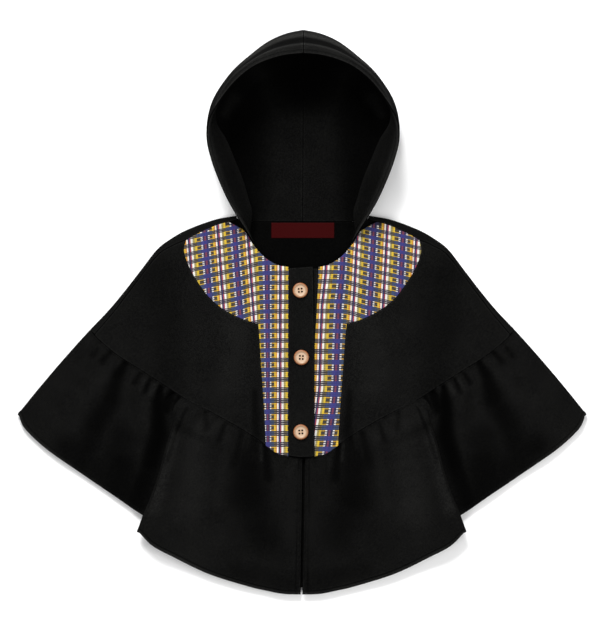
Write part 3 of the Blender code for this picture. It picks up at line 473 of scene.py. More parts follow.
@dataclass
class PaperPattern:
    """Lines that the pieces share, and how high the front lies."""

    cloth: float = 2.0
    seam_lap: float = 0.2
    front_level: float = 7.0
    edge_rise: float = 0.8
    edge_reach: float = 22.0
    bib_share: float = 0.285
    bib_foot: float = 61.5
    # Shoulder fold, outer line of the cloth: x, y
    shoulder_fold: Table = (
        (100.3, 140.1), (129, 134.6), (168.2, 120.1), (193.6, 105.6), (211.7, 91.1), (234.2, 62.1),
        (256.6, 33.1), (280.6, 4.1), (308.1, -24.9),
    )
    # Shoulder seam, how far in from the fold: share of the fold, inset
    shoulder_inset: Table = (
        (0, 6.4), (0.14, 9.2), (0.28, 12.7), (0.37, 9.4), (0.46, 6.2), (0.53, 5.2), (0.61, 5.2),
        (0.73, 5.8), (0.87, 7.4), (1, 9.3),
    )
    # Seam between body and ruffle: x, y
    ruffle_seam: Table = (
        (-4.3, -211), (19.6, -207.9), (34.8, -204.4), (49.3, -194.9), (61.6, -185.2), (85.5, -169.9),
        (114.5, -153.3), (141.4, -139.2), (168.2, -125.7), (201.5, -104), (234.2, -82.9), (268.2, -61.2),
        (295.8, -38.3), (305.1, -27.8),
    )
    # Outer edge of the bib below the shoulder: x, y
    bib_edge: Table = (
        (172, 91.1), (167.5, 73.7), (156.6, 51.9), (137, 24.4), (115.3, 5.5), (88.9, -8.4), (67.9, -15.4),
        (63.8, -20.6), (59.7, -75.7), (55.5, -136.6), (52.8, -181.5),
    )
    # Soft hollows and ridges: x, y, direction in degrees, half length, half width, height
    creases: Table = (
        (-150, 20, 62, 60, 17, -0.9), (-205, -20, 50, 48, 15, 0.9), (-95, -60, 84, 62, 14, 0.8),
        (-120, -110, 100, 30, 12, -0.7), (160, 10, 118, 60, 16, -0.9), (214, -26, 128, 50, 15, 0.9),
        (100, -70, 98, 60, 14, 0.8), (130, -100, 78, 30, 12, -0.7), (60, -120, 92, 36, 9, -0.6),
        (-66, -110, 88, 40, 9, -0.6),
    )

    def __post_init__(self) -> None:
        """Work out the shared lines."""
        self.full = self.cloth / 2
        self.shoulder = evenly(fine(self.shoulder_fold), 86)
        self.shares = np.linspace(0.0, 1.0, len(self.shoulder))
        self.shoulder_in = -left_of(np.gradient(self.shoulder, axis=0))
        self.shoulder_mid = self.shoulder + self.shoulder_in * self.full
        self.insets = np.interp(self.shares, *zip(*self.shoulder_inset))
        self.shoulder_seam = self.shoulder + self.shoulder_in * self.insets[:, None]
        self.seam = evenly(fine(self.ruffle_seam), 133)
        self.seam_length = float(lengths(self.seam)[-1])
        self.back_seam = evenly(self.seam, 67)

    def front_height(self, x: Array | float, y: Array | float) -> Array:
        """Height of the middle of the front cloth above the surface.

        Args:
            x: Places across.
            y: Places up.

        Returns:
            The height at each place.
        """
        x, y = np.asarray(x, dtype=float), np.asarray(y, dtype=float)
        spots = np.stack([np.abs(x.ravel()), y.ravel()], axis=1)
        from_fold = nearest_to(spots, self.shoulder[::3]).reshape(x.shape)
        height = self.front_level + self.edge_rise * bump(from_fold, 0.0, self.edge_reach)
        for middle_x, middle_y, turn, half_length, half_width, rise in self.creases:
            c, s = math.cos(math.radians(turn)), math.sin(math.radians(turn))
            along = (x - middle_x) * c + (y - middle_y) * s
            across = (y - middle_y) * c - (x - middle_x) * s
            height = height + rise * bump(along, 0.0, half_length) * bump(across, 0.0, half_width)
        return height

    def down_from(self, line: Array) -> Array:
        """Unit vectors across a seam, from the body to the ruffle."""
        return -left_of(np.gradient(line, axis=0))

    def seam_part(self, start: float, end: float) -> Array:
        """Points of the ruffle seam between two distances along it."""
        return at_length(self.seam, np.linspace(start, end, max(2, int(abs(end - start) / 3.0) + 1)))

    def shoulder_part(self, start: float, end: float) -> Array:
        """Points of the shoulder seam between two shares of its length."""
        wanted = np.linspace(start, end, max(2, int(abs(end - start) * 95) + 1))
        return np.stack([np.interp(wanted, self.shares, column) for column in self.shoulder_seam.T], axis=1)

    def bib_side(self) -> Array:
        """Outer edge of the bib from the shoulder seam down to the ruffle seam."""
        top = self.shoulder_part(self.bib_share, self.bib_share)[:1]
        return evenly(fine(np.vstack([top, self.bib_edge, at_length(self.seam, [self.bib_foot])])), 130)

    def let_in(self, outline: list[Array], side: Side, spacing: float) -> Sheet:
        """Cut a sheet of the front and lay it.

        Args:
            outline: Parts of the cut on the left half, in order.
            side: The side it is for.
            spacing: Distance between points inside.

        Returns:
            The sheet, thinner at its edge.
        """
        outline = mirrored(np.vstack(outline), side)
        sheet = from_outline(outline, spacing, self.front_height, self.full, -self.seam_lap / 2)
        sheet.half *= rounded(sheet.edge, 1.4, 0.35)
        return sheet


# Finishes


def hex_linear(code: str) -> Colour:
    """Turn an sRGB hex colour into linear values with full alpha."""
    parts = [int(code[index:index + 2], 16) / 255.0 for index in (1, 3, 5)]
    return (*(part / 12.92 if part <= 0.04045 else ((part + 0.055) / 1.055) ** 2.4 for part in parts), 1.0)


def add_node(tree: Tree, kind: str, inputs: dict | None = None, out: str | int = 0,
             **settings: str) -> Socket:
    """Add a node with its settings, values and links.

    Args:
        tree: The material's nodes.
        kind: Blender's name of the node type, after ShaderNode.
        inputs: Values or output sockets by input name or number.
        out: Output that is handed back.
        settings: Properties to set on the node.

    Returns:
        The output socket.
    """
    node = tree.nodes.new(f"ShaderNode{kind}")
    for key, value in settings.items():
        setattr(node, key, value)
    connect(tree, node, inputs or {})
    return node.outputs[out]


def connect(tree: Tree, node: bpy.types.Node, inputs: dict) -> None:
    """Link sockets to a node's inputs, or set values on them.

    Args:
        tree: The material's nodes.
        node: The node.
        inputs: Values or output sockets by input name or number.
    """
    for key, value in inputs.items():
        if isinstance(value, Socket):
            tree.links.new(value, node.inputs[key])
        else:
            node.inputs[key].default_value = value


def fill_ramp(colour: Socket, stops: list[tuple[float, Colour]], blend: str = "LINEAR") -> None:
    """Set the stops of a colour ramp.

    Args:
        colour: The ramp's output.
        stops: Positions and colours, in rising order.
        blend: How it goes from one stop to the next.
    """
    ramp = colour.node.color_ramp
    ramp.interpolation = blend
    ramp.elements.remove(ramp.elements[-1])
    ramp.elements[0].position, ramp.elements[0].color = stops[0]
    for position, value in stops[1:]:
        ramp.elements.new(position).color = value


@dataclass(frozen=True)
class Finish:
    """What every finish shares: a material named for the real one."""

    name: str

    def looks(self, tree: Tree) -> dict:
        """Add the finish's nodes and give sockets and values for the shader by input name."""
        raise NotImplementedError

    def make(self) -> Material:
        """Build the material.

        Returns:
            The finished material.
        """
        material = bpy.data.materials.new(self.name)
        material.use_nodes = True
        tree = material.node_tree
        connect(tree, tree.nodes["Principled BSDF"], self.looks(tree))
        return material


@dataclass(frozen=True)
class WoolCoating(Finish):
    """Brushed wool coating, black: a fulled cloth with a short raised nap.

    The nap scatters light, so the cloth is matt with a faint pale bloom where
    it turns away, and its ground looks slightly mottled.
    """

    name: str = "brushed_wool_coating"
    ground: str = "#050505"
    bloom: str = "#161615"
    sheen: float = 0.006
    # Real fibres are finer; drawn as coarse as they need to show
    fibre_mm: float = 1.25
    mottle_mm: float = 45.0
    # Painted shade as a dark crack at a seam, and beside it a paler edge, partly rubbed wear and partly
    # painted highlight
    crack_shade_mm: float = 1.1
    worn_and_lit_mm: float = 3.0
    # How much one step of painted light and shade darkens or lightens the colour
    depth: float = 4.0

    def looks(self, tree: Tree) -> dict:
        """Nap with grain, clouds, painted shade and highlight at seam edges, and painted light and shade of
        the folds.

        Args:
            tree: The material's nodes.

        Returns:
            Sockets and values for the shader by input name.
        """
        place = add_node(tree, "TexCoord", out="Object")
        fibre = add_node(tree, "TexNoise", {
            "Vector": place, "Scale": 1 / (self.fibre_mm * MM), "Detail": 3.0, "Roughness": 0.7}, "Fac")
        mottle = add_node(tree, "TexNoise", {
            "Vector": place, "Scale": 1 / (self.mottle_mm * MM), "Detail": 4.0}, "Fac")
        grain = add_node(tree, "MapRange", {"Value": fibre, "From Min": 0.42, "From Max": 0.6})
        cloud = add_node(tree, "MapRange", {
            "Value": mottle, "From Min": 0.35, "From Max": 0.7, "To Max": 0.16})
        amount = add_node(tree, "Math", {0: grain, 1: 0.6, 2: cloud}, operation="MULTIPLY_ADD")
        base = add_node(tree, "Mix", {
            "Factor": amount, "A": hex_linear(self.ground), "B": hex_linear(self.bloom),
        }, "Result", data_type="RGBA")
        border = add_node(tree, "Attribute", out="Fac", attribute_name="edge_mm")
        tone = add_node(tree, "Attribute", out="Fac", attribute_name="painted_shading")
        # Painted shade in the crack at each border and a paler band beside it, partly rubbed wear and
        # partly painted highlight, added to the painted light and shade
        for start, end, most in ((0.1, self.crack_shade_mm, -2.0), (self.crack_shade_mm, self.worn_and_lit_mm, 0.32)):
            line = add_node(tree, "MapRange", {
                "Value": border, "From Min": start, "From Max": end, "To Min": most, "To Max": 0.0,
            }, interpolation_type="SMOOTHSTEP")
            tone = add_node(tree, "Math", {0: line, 1: tone}, operation="ADD")
        level = add_node(tree, "Math", {0: self.depth, 1: tone}, operation="POWER")
        return {
            "Base Color": add_node(tree, "VectorMath", {0: base, "Scale": level}, operation="SCALE"),
            "Roughness": add_node(tree, "MapRange", {"Value": fibre, "To Min": 0.84, "To Max": 0.97}),
            "Normal": add_node(tree, "Bump", {"Height": fibre, "Strength": 0.5, "Distance": 0.0005}),
            "Sheen Weight": self.sheen, "Sheen Roughness": 0.45, "Sheen Tint": hex_linear("#9a9a9c"),
            "Specular IOR Level": 0.015,
        }


@dataclass(frozen=True)
class CheckedTweed(Finish):
    """Woven tweed of slub yarns in a check of stripes, bars and small combs.

    Thick and thin yarns cross, so the surface is finely ribbed and matt, and
    each colour shows as short floats with dark gaps between them.
    """

    name: str = "checked_tweed"
    repeat_mm: float = 43.0
    yarn_mm: float = 1.5
    # Ends across one repeat: share where it starts, then the colour of a light
    # pick, of a dark pick, of a bar and of the fine line in the bar
    ends: tuple[tuple[float, str, str, str, str], ...] = (
        (0.000, "#fbf9f4", "#f6f4ee", "#2a2836", "#c8c4c6"),
        (0.070, "#ab9c5e", "#96894f", "#211d28", "#77705e"),
        (0.135, "#eac832", "#d8b02e", "#38302c", "#6c6048"),
        (0.205, "#c39c32", "#161216", "#2e3c62", "#42547a"),
        (0.345, "#efece6", "#28223a", "#343678", "#3e4086"),
        (0.410, "#342452", "#2a1f4c", "#35357c", "#3a3a86"),
        (0.460, "#84384e", "#60304e", "#343078", "#3a3884"),
        (0.520, "#2a2456", "#221c4c", "#323276", "#34387e"),
        (0.590, "#efece6", "#221c3c", "#2c3866", "#334272"),
        (0.650, "#c09430", "#141014", "#2a3854", "#3c4c68"),
        (0.750, "#ecc63a", "#cfa430", "#38323a", "#746848"),
        (0.805, "#de922e", "#c4802a", "#2a2428", "#6c5c42"),
        (0.850, "#fbf5ee", "#efe9e0", "#362a3c", "#c8c0c8"),
        (0.900, "#201e2e", "#201e2e", "#1d1a2a", "#232132"),
        (0.925, "#3c3270", "#38306a", "#24244e", "#322f64"),
        (0.955, "#b4424c", "#a63e4a", "#3e2032", "#62384a"),
    )
    # Picks down one repeat: share where it starts, which colour of the ends it shows.
    # Pick 4 is a light pick, 0, with its two combs hollow
    picks: tuple[tuple[float, int], ...] = (
        (0.00, 0), (0.11, 1), (0.21, 4), (0.33, 1), (0.42, 0), (0.53, 2), (0.64, 3), (0.71, 2), (0.83, 3),
        (0.90, 2),
    )
    combs: tuple[float, ...] = (0.205, 0.650)
    hollow: str = "#4c453c"

    def pick(self, tree: Tree, share: Socket, kind: int) -> Socket:
        """One kind of pick as a ramp of colours across the repeat.

        Args:
            tree: The material's nodes.
            share: Place within the repeat.
            kind: Number of the pick.

        Returns:
            The ramp's colour.
        """
        colour = add_node(tree, "ValToRGB", {"Fac": share})
        open_combs = self.combs if kind == 4 else ()
        stops = []
        for start, *codes in self.ends:
            stops.append((start, hex_linear(self.hollow if start in open_combs else codes[kind % 4])))
        fill_ramp(colour, stops, "CONSTANT")
        return colour

    def looks(self, tree: Tree) -> dict:
        """Ends and picks from their place in the weave, slightly wavering.

        Args:
            tree: The material's nodes.

        Returns:
            Sockets and values for the shader by input name.
        """
        chart = add_node(tree, "Attribute", out="Vector", attribute_name="weave_mm")
        waver = add_node(tree, "TexNoise", {"Vector": chart, "Scale": 0.16, "Detail": 2.0}, "Color")
        shift = add_node(tree, "VectorMath", {
            0: waver, 1: (0.9, 0.09, 0.0), 2: chart}, operation="MULTIPLY_ADD")
        x = add_node(tree, "SeparateXYZ", {"Vector": shift}, "X")
        share = add_node(tree, "Math", {0: x, 1: self.repeat_mm}, operation="DIVIDE")
        over = add_node(tree, "Math", {0: share}, operation="FRACT")
        down = add_node(tree, "Math", {0: x.node.outputs["Y"]}, operation="FRACT")
        colour = self.pick(tree, over, 0)
        for kind in range(1, 5):
            mask = add_node(tree, "ValToRGB", {"Fac": down})
            shown = [(start, float(found == kind)) for start, found in self.picks]
            fill_ramp(mask, [(start, (on, on, on, 1.0)) for start, on in shown], "CONSTANT")
            colour = add_node(tree, "Mix", {
                "Factor": mask, "A": colour, "B": self.pick(tree, over, kind)}, "Result", data_type="RGBA")
        slub = add_node(tree, "TexNoise", {
            "Vector": chart, "Scale": 1 / self.yarn_mm, "Detail": 2.0}, "Fac")
        shade = add_node(tree, "MapRange", {
            "Value": slub, "From Min": 0.3, "From Max": 0.7, "To Min": 0.40, "To Max": 0.69})
        rib = add_node(tree, "TexWave", {
            "Vector": chart, "Scale": 0.314 / self.yarn_mm, "Distortion": 0.6}, "Fac", bands_direction="X")
        height = add_node(tree, "Math", {0: rib, 1: slub}, operation="ADD")
        return {
            "Base Color": add_node(tree, "HueSaturation", {"Color": colour, "Value": shade}),
            "Roughness": add_node(tree, "MapRange", {"Value": slub, "To Min": 0.7, "To Max": 0.92}),
            "Normal": add_node(tree, "Bump", {"Height": height, "Strength": 0.35, "Distance": 0.0004}),
            "Sheen Weight": 0.08, "Specular IOR Level": 0.3,
        }


@dataclass(frozen=True)
class Thread(Finish):
    """What the finishes of parallel threads share: two shades in fine lines."""

    dark: str = "#000000"
    light: str = "#000000"
    thread_mm: float = 1.0
    lie: str = "Y"
    wander: float = 0.0
    detail: float = 2.0
    matt: tuple[float, float] = (0.0, 1.0)
    shine: float = 0.0
    ridge: float = 0.0

    def looks(self, tree: Tree) -> dict:
        """Fine lines of two shades, raised where the thread is thick.

        Args:
            tree: The material's nodes.

        Returns:
            Sockets and values for the shader by input name.
        """
        place = add_node(tree, "TexCoord", out="Object")
        lines = add_node(tree, "TexWave", {
            "Vector": place, "Scale": 0.314 / (self.thread_mm * MM), "Distortion": self.wander,
            "Detail": self.detail,
        }, "Fac", bands_direction=self.lie)
        looks = {
            "Base Color": add_node(tree, "Mix", {
                "Factor": lines, "A": hex_linear(self.dark), "B": hex_linear(self.light),
            }, "Result", data_type="RGBA"),
            "Roughness": add_node(tree, "MapRange", {
                "Value": lines, "To Min": self.matt[0], "To Max": self.matt[1]}),
            "Specular IOR Level": self.shine,
        }
        if self.ridge:
            looks["Normal"] = add_node(tree, "Bump", {
                "Height": lines, "Strength": self.ridge, "Distance": 0.0002})
        return looks


# Woven satin ribbon, dark red: long floats give a soft lengthwise sheen
LABEL_SATIN = Thread(
    "woven_satin_ribbon", dark="#1e0101", light="#330405", thread_mm=1.1, wander=1.5,
    matt=(0.42, 0.62), shine=0.03, ridge=0.3,
)
# Polyester sewing thread: twisted plies with a slight shine
SEWING_THREAD = Thread(
    "spun_polyester_thread", dark="#030303", light="#0c0c0c", thread_mm=0.7, lie="DIAGONAL", wander=0.8,
    matt=(0.5, 0.65), shine=0.08,
)


@dataclass(frozen=True)
class TurnedWood(Finish):
    """Turned boxwood button, oiled: a pale dished face and a browned rim."""

    name: str = "turned_boxwood"
    # From the centre to the rim: share of the radius, colour
    tones: tuple[tuple[float, str], ...] = (
        (0.00, "#ab8c6e"), (0.45, "#ac9077"), (0.66, "#b39a82"), (0.78, "#987a5e"), (0.92, "#8e6a4a"),
        (1.00, "#7c451e"),
    )
    grain_mm: float = 1.3

    def looks(self, tree: Tree) -> dict:
        """Rings of tone with stretched grain, and fine marks of the lathe.

        Args:
            tree: The material's nodes.

        Returns:
            Sockets and values for the shader by input name.
        """
        reach = add_node(tree, "Attribute", out="Fac", attribute_name="from_centre")
        place = add_node(tree, "TexCoord", out="Object")
        stretched = add_node(tree, "Mapping", {"Vector": place, "Scale": (1.0, 4.0, 1.0)})
        grain = add_node(tree, "TexNoise", {
            "Vector": stretched, "Scale": 0.25 / (self.grain_mm * MM), "Detail": 4.0}, "Fac")
        uneven = add_node(tree, "Math", {0: grain, 1: 0.16, 2: reach}, operation="MULTIPLY_ADD")
        colour = add_node(tree, "ValToRGB", {"Fac": uneven})
        fill_ramp(colour, [(share, hex_linear(code)) for share, code in self.tones])
        rings = add_node(tree, "Math", {0: reach, 1: 55.0}, operation="MULTIPLY")
        rings = add_node(tree, "Math", {0: rings}, operation="SINE")
        return {
            "Base Color": colour,
            "Roughness": add_node(tree, "MapRange", {"Value": grain, "To Min": 0.34, "To Max": 0.55}),
            "Normal": add_node(tree, "Bump", {"Height": rings, "Strength": 0.12, "Distance": 0.0002}),
            "Specular IOR Level": 0.5,
        }


# Body pieces


@dataclass
class Piece:
    """What every piece of cloth needs to be made."""

    room: Workroom
    lines: PaperPattern
    finish: Material


@dataclass
class HalfPiece(Piece):
    """A piece that is made once for each side."""

    side: Side


@dataclass
class BackPanel(Piece):
    """The back, with its shoulders rolled over to the front."""

    roll_radius: float = 3.4
    # How far the first row reaches under the hood, and from where across: start, width
    reach_in: float = 4.4
    reach_from: tuple[float, float] = (74.0, 20.0)
    # Shade under the chin of the hood: tone, and its ends across and down: start, width
    shade: float = -1.05
    shade_across: tuple[float, float] = (90.0, -20.0)
    shade_up: tuple[float, float] = (40.0, 20.0)
    columns: int = 71
    # Neck seam on the back, from the centre to the shoulder: x, y
    neck: Table = ((0, 132.8), (36.2, 132.8), (69.6, 132.5), (87, 132.3))
    cut: Cut = Cut((0.66, 0.34), 0.146, "floor")

    def middle(self) -> Array:
        """Middle of the cloth, neck to ruffle by side to side.

        Returns:
            The grid of points.
        """
        lines, radius, full = self.lines, self.roll_radius, self.lines.full
        edge = lines.shoulder_mid + lines.shoulder_in * radius
        seam = lines.back_seam + lines.down_from(lines.back_seam) * lines.seam_lap / 2
        seam = seam[seam[:, 0] > 0.0]
        seam = evenly(np.vstack([[0.0, seam[0, 1]], seam[:-1], edge[-1]]), self.columns)
        neck = evenly(np.vstack([fine(self.neck), edge[:1]]), self.columns)
        across = np.linspace(0.0, 1.0, self.columns)
        turns = np.radians(np.arange(-75, 91, 15))
        top = full + 2 * radius
        rows = []
        for v, side, inwards, reach in zip(lines.shares, edge, lines.shoulder_in, lines.insets):
            blend = (1 - v) * neck + v * seam
            plan = blend + np.outer(across**2, side - blend[-1])
            end = reach - full + lines.seam_lap / 2 - radius
            away = np.array([0.5 * end, end - 1.2, end - 0.5, end])
            over = side + np.outer(away, inwards)
            level = top + (lines.front_height(*over.T) - top) * smooth(away / end)
            rolled = side - np.outer(radius * np.cos(turns), inwards)
            row = np.vstack([
                np.column_stack([plan, np.full(len(plan), full)]),
                np.column_stack([rolled, full + radius * (1 + np.sin(turns))]),
                np.column_stack([over, level]),
            ])
            rows.append(np.vstack([mirrored(row[:0:-1], Side.RIGHT), row]))
        middle = np.array(rows)
        reach_in = self.reach_in * ease(np.abs(middle[0, :, 0]), *self.reach_from)
        middle[0, :, 0] -= np.sign(middle[0, :, 0]) * reach_in
        middle[0, :, 1] += 0.1 * reach_in
        first, last = middle[:1], middle[-1:]
        after, before = middle[1:2] - first, middle[-2:-1] - last
        near = (0.12, 0.4)
        return np.concatenate([
            first, *(first + share * after for share in near), middle[1:-1],
            *(last + share * before for share in near[::-1]), last,
        ])

    def build(self) -> None:
        """Make the piece."""
        middle, full = self.middle(), self.lines.full
        normal = grid_normals(middle)
        resting = middle[..., 2] < full + 1e-6
        normal[resting] = (0.0, 0.0, np.sign(normal[9, middle.shape[1] // 2, 2]))
        normal[0] = without(normal[0], middle[1] - middle[0])
        normal[-1] = without(normal[-1], middle[-1] - middle[-2])
        edge = grid_edge(middle)
        half = full * rounded(edge, 1.3, 0.4)
        half = np.where(resting, np.maximum(half, full * 0.999), half)
        sheet = from_grid(middle, half, normal, edge)
        out, up = np.abs(middle[..., 0]), middle[..., 1]
        sheet.tone = self.shade * ease(out, *self.shade_across) * ease(up, *self.shade_up)
        self.room.cloth("back_panel", sheet, self.finish, self.cut)


@dataclass
class FrontHalf(HalfPiece):
    """One plain front, between shoulder, bib and ruffle."""

    spacing: float = 4.0
    cut: Cut = Cut((0.27, 0.30), 0.038, "back_panel")
    # Painted shade and light on the front, as strokes
    shades: Table = (
        (206, 50, 190.7, -114.8, 30, 22, 0, -0.28), (92, -6, 103.7, -97.4, 24, 26, 0, 0.26),
        (68.9, -114.8, 66, -178.6, 4.3, 6.5, 0, -0.6), (142.8, -24.9, 150.1, -126.4, 20.3, 20.3, 0, 0.05),
    )

    def build(self) -> None:
        """Make the piece."""
        lines = self.lines
        outline = [
            lines.shoulder_part(lines.bib_share, 1.0),
            lines.seam_part(lines.seam_length - 8.0, lines.bib_foot), lines.bib_side()[-2:0:-1],
        ]
        sheet = lines.let_in(outline, self.side, self.spacing)
        sheet.tone = strokes(np.abs(sheet.middle[:, 0]), sheet.middle[:, 1], self.shades)[1]
        self.room.cloth(f"front_{self.side.word}", sheet, self.finish, self.cut)


@dataclass
class BibHalf(HalfPiece):
    """One half of the checked bib, let into the front."""

    spacing: float = 4.0
    cut: Cut = Cut((0.17, 0.35), 0.024, "back_panel")
    top_share: float = 0.03
    # Neck seam from the shoulder to the button band: x, y
    neckline: Table = ((84.1, 118.3), (73.1, 100.9), (58.7, 83.8), (46.4, 74.4), (34.1, 68.4))
    # Inner edge at the button band: x, y
    inner: dict = field(default_factory=lambda: {
        Side.LEFT: ((23.1, 66.6), (20.9, 4.8), (17.5, -67), (16.5, -208.2)),
        Side.RIGHT: ((20.2, 66.6), (20.2, -24.9), (20.2, -126.4), (20, -207.8)),
    })
    # Where the first white end runs beside the button band, from the foot up: y, x
    first_end: dict = field(default_factory=lambda: {
        Side.LEFT: ((-210, 14.1), (-188.8, 16.9), (-172.8, 19.1), (-141, 24), (-109, 27.7), (-48.1, 29.1),
                    (9.9, 31.1), (56.3, 36.1), (130, 39.8)),
        Side.RIGHT: ((-210, -29.4), (130, -29.4)),
    })
    # The same end nearer the shoulder: x at a set height, slope towards the centre
    outer_height: float = 58.0
    outer_end: dict = field(default_factory=lambda: {Side.LEFT: (36.1, 0.05), Side.RIGHT: (-29.4, 0.077)})
    # Where it leaves the one line for the other, across: start, width
    outer_from: tuple[float, float] = (42.0, 36.0)
    # Slant of the rows near the shoulder: rise for each mm, start, and the width it comes in over
    slant: float = 0.22
    slant_start: float = 52.0
    slant_from: tuple[float, float] = (40.0, 50.0)
    # From the middle of a row of combs to the start of the repeat
    comb_share: float = 0.265
    # Middles of the rows of combs, counted from the foot up: y, count
    comb_rows: dict = field(default_factory=lambda: {
        Side.LEFT: ((-219.7, -18), (-173.6, -15), (-109.5, -11), (-47.3, -7), (10.3, -3), (53.4, 0),
                    (91, 3), (139, 7.1)),
        Side.RIGHT: ((-213.6, -20), (-150.6, -16), (-102.9, -13), (9.8, -5), (51.2, -2), (80.2, 0),
                     (139, 4.9)),
    })

    def weave(self, x: Array, y: Array) -> Array:
        """Place of each point in the weave: across the ends and along them.

        Args:
            x: Places across.
            y: Places up.

        Returns:
            Millimetres across the repeats, and repeats down, at each point.
        """
        out = np.abs(x)
        start, slope = self.outer_end[self.side]
        beside = np.interp(y, *np.array(self.first_end[self.side]).T)
        outer = start + self.side.value * slope * (y - self.outer_height)
        first = beside + (outer - beside) * ease(out, *self.outer_from)
        level = y + self.slant * np.maximum(0.0, out - self.slant_start) * ease(out, *self.slant_from)
        down = np.interp(level, *np.array(self.comb_rows[self.side]).T) + self.comb_share
        return np.column_stack([x - first, down, np.zeros(len(x))])

    def build(self) -> None:
        """Make the piece."""
        lines = self.lines
        inner = np.array(self.inner[self.side])
        foot = lines.seam_part(lines.bib_foot, inner[-1, 0] + 4.4)
        inner[-1] = foot[-1]
        corner = lines.shoulder_part(self.top_share, self.top_share)[:1]
        neck = fine(np.vstack([corner, self.neckline, inner[:1]]))
        outline = [
            lines.bib_side(), foot, evenly(fine(inner)[::-1], 80), evenly(neck[::-1], 34),
            lines.shoulder_part(self.top_share, lines.bib_share),
        ]
        sheet = lines.let_in([part[:-1] for part in outline], self.side, self.spacing)
        sheet.weave = self.weave(*sheet.middle[:, :2].T)
        self.room.cloth(f"bib_{self.side.word}", sheet, self.finish, self.cut, "bib_weave")


@dataclass
class ButtonBand(Piece):
    """The two strips of the front opening, the upper one with the buttons."""

    lift: float = 2.6
    thickness: float = 2.6
    # Width over which the upper strip climbs, and how far its lower edge sags
    slope: float = 7.4
    sag: float = 1.8
    cut: Cut = Cut((0.042, 0.28), 0.01176, "back_panel")
    # Edges from neck to ruffle: left x, y, right x, y
    upper: Table = (
        (-19.9, 65, 15.4, 67.6), (-19.9, 18.6, 16.5, 18.6), (-19.9, -68.4, 17.5, -68.4),
        (-19.9, -155.4, 18.1, -155.4), (-19.7, -207.3, 18.3, -208.2),
    )
    under: Table = (
        (-11.5, 64.4, 22.6, 64.7), (-11.5, 4.8, 20.4, 4.8), (-11.5, -67, 17.1, -67),
        (-11.5, -208.5, 16.1, -207.6),
    )

    def strip(self, name: str, table: Table, lift: float, half: float) -> None:
        """One strip of cloth.

        Args:
            name: Name of the node.
            table: Its left and right edges from the neck down.
            lift: How far it is raised over the front.
            half: Half its thickness.
        """
        ladder = np.asarray(table, dtype=float)
        down = np.linspace(0.0, len(ladder) - 1.0, 90)
        first = BORDER * (down[1] / 3.1)
        down = np.concatenate([first, down[1:-1], down[-1] - first[::-1]])
        rungs = np.arange(len(ladder))
        edges = np.stack([np.interp(down, rungs, column) for column in ladder.T], axis=1)[:, None]
        rim = BORDER / 38.0
        share = np.concatenate([rim, np.linspace(0.09, 0.91, 20), 1.0 - rim[::-1]])[None, :, None]
        plan = edges[..., :2] * (1 - share) + edges[..., 2:] * share
        plan[-4:, :, 1] -= self.sag * 4 * share[0, :, 0] * (1 - share[0, :, 0])
        level = self.lines.front_height(plan[..., 0], plan[..., 1])
        if lift > 0.0:
            base = half - self.lines.full
            level = level + base + (lift - base) * smooth((plan[..., 0] - ladder[0, 0]) / self.slope)
        middle = np.dstack([plan, level])
        edge = grid_edge(middle)
        upright = np.broadcast_to((0.0, 0.0, 1.0), middle.shape)
        sheet = from_grid(middle, half * rounded(edge, 1.5, 0.3), upright, edge)
        self.room.cloth(name, sheet, self.finish, self.cut)

    def build(self) -> None:
        """Make both strips."""
        self.strip("band_under", self.under, 0.0, self.lines.full)
        self.strip("band_top", self.upper, self.lift, self.thickness / 2)

    def top_level(self, x: float, y: float) -> float:
        """Height of the upper strip's face at a spot."""
        return float(self.lines.front_height(x, y)) + self.lift + self.thickness / 2


# Ruffle


def turned_hem(distance: Array, depth: float) -> Array:
    """Share of the turned hem's extra thickness at a distance from the edge."""
    return 1.0 - smooth((distance - depth + 0.6) / 1.2)


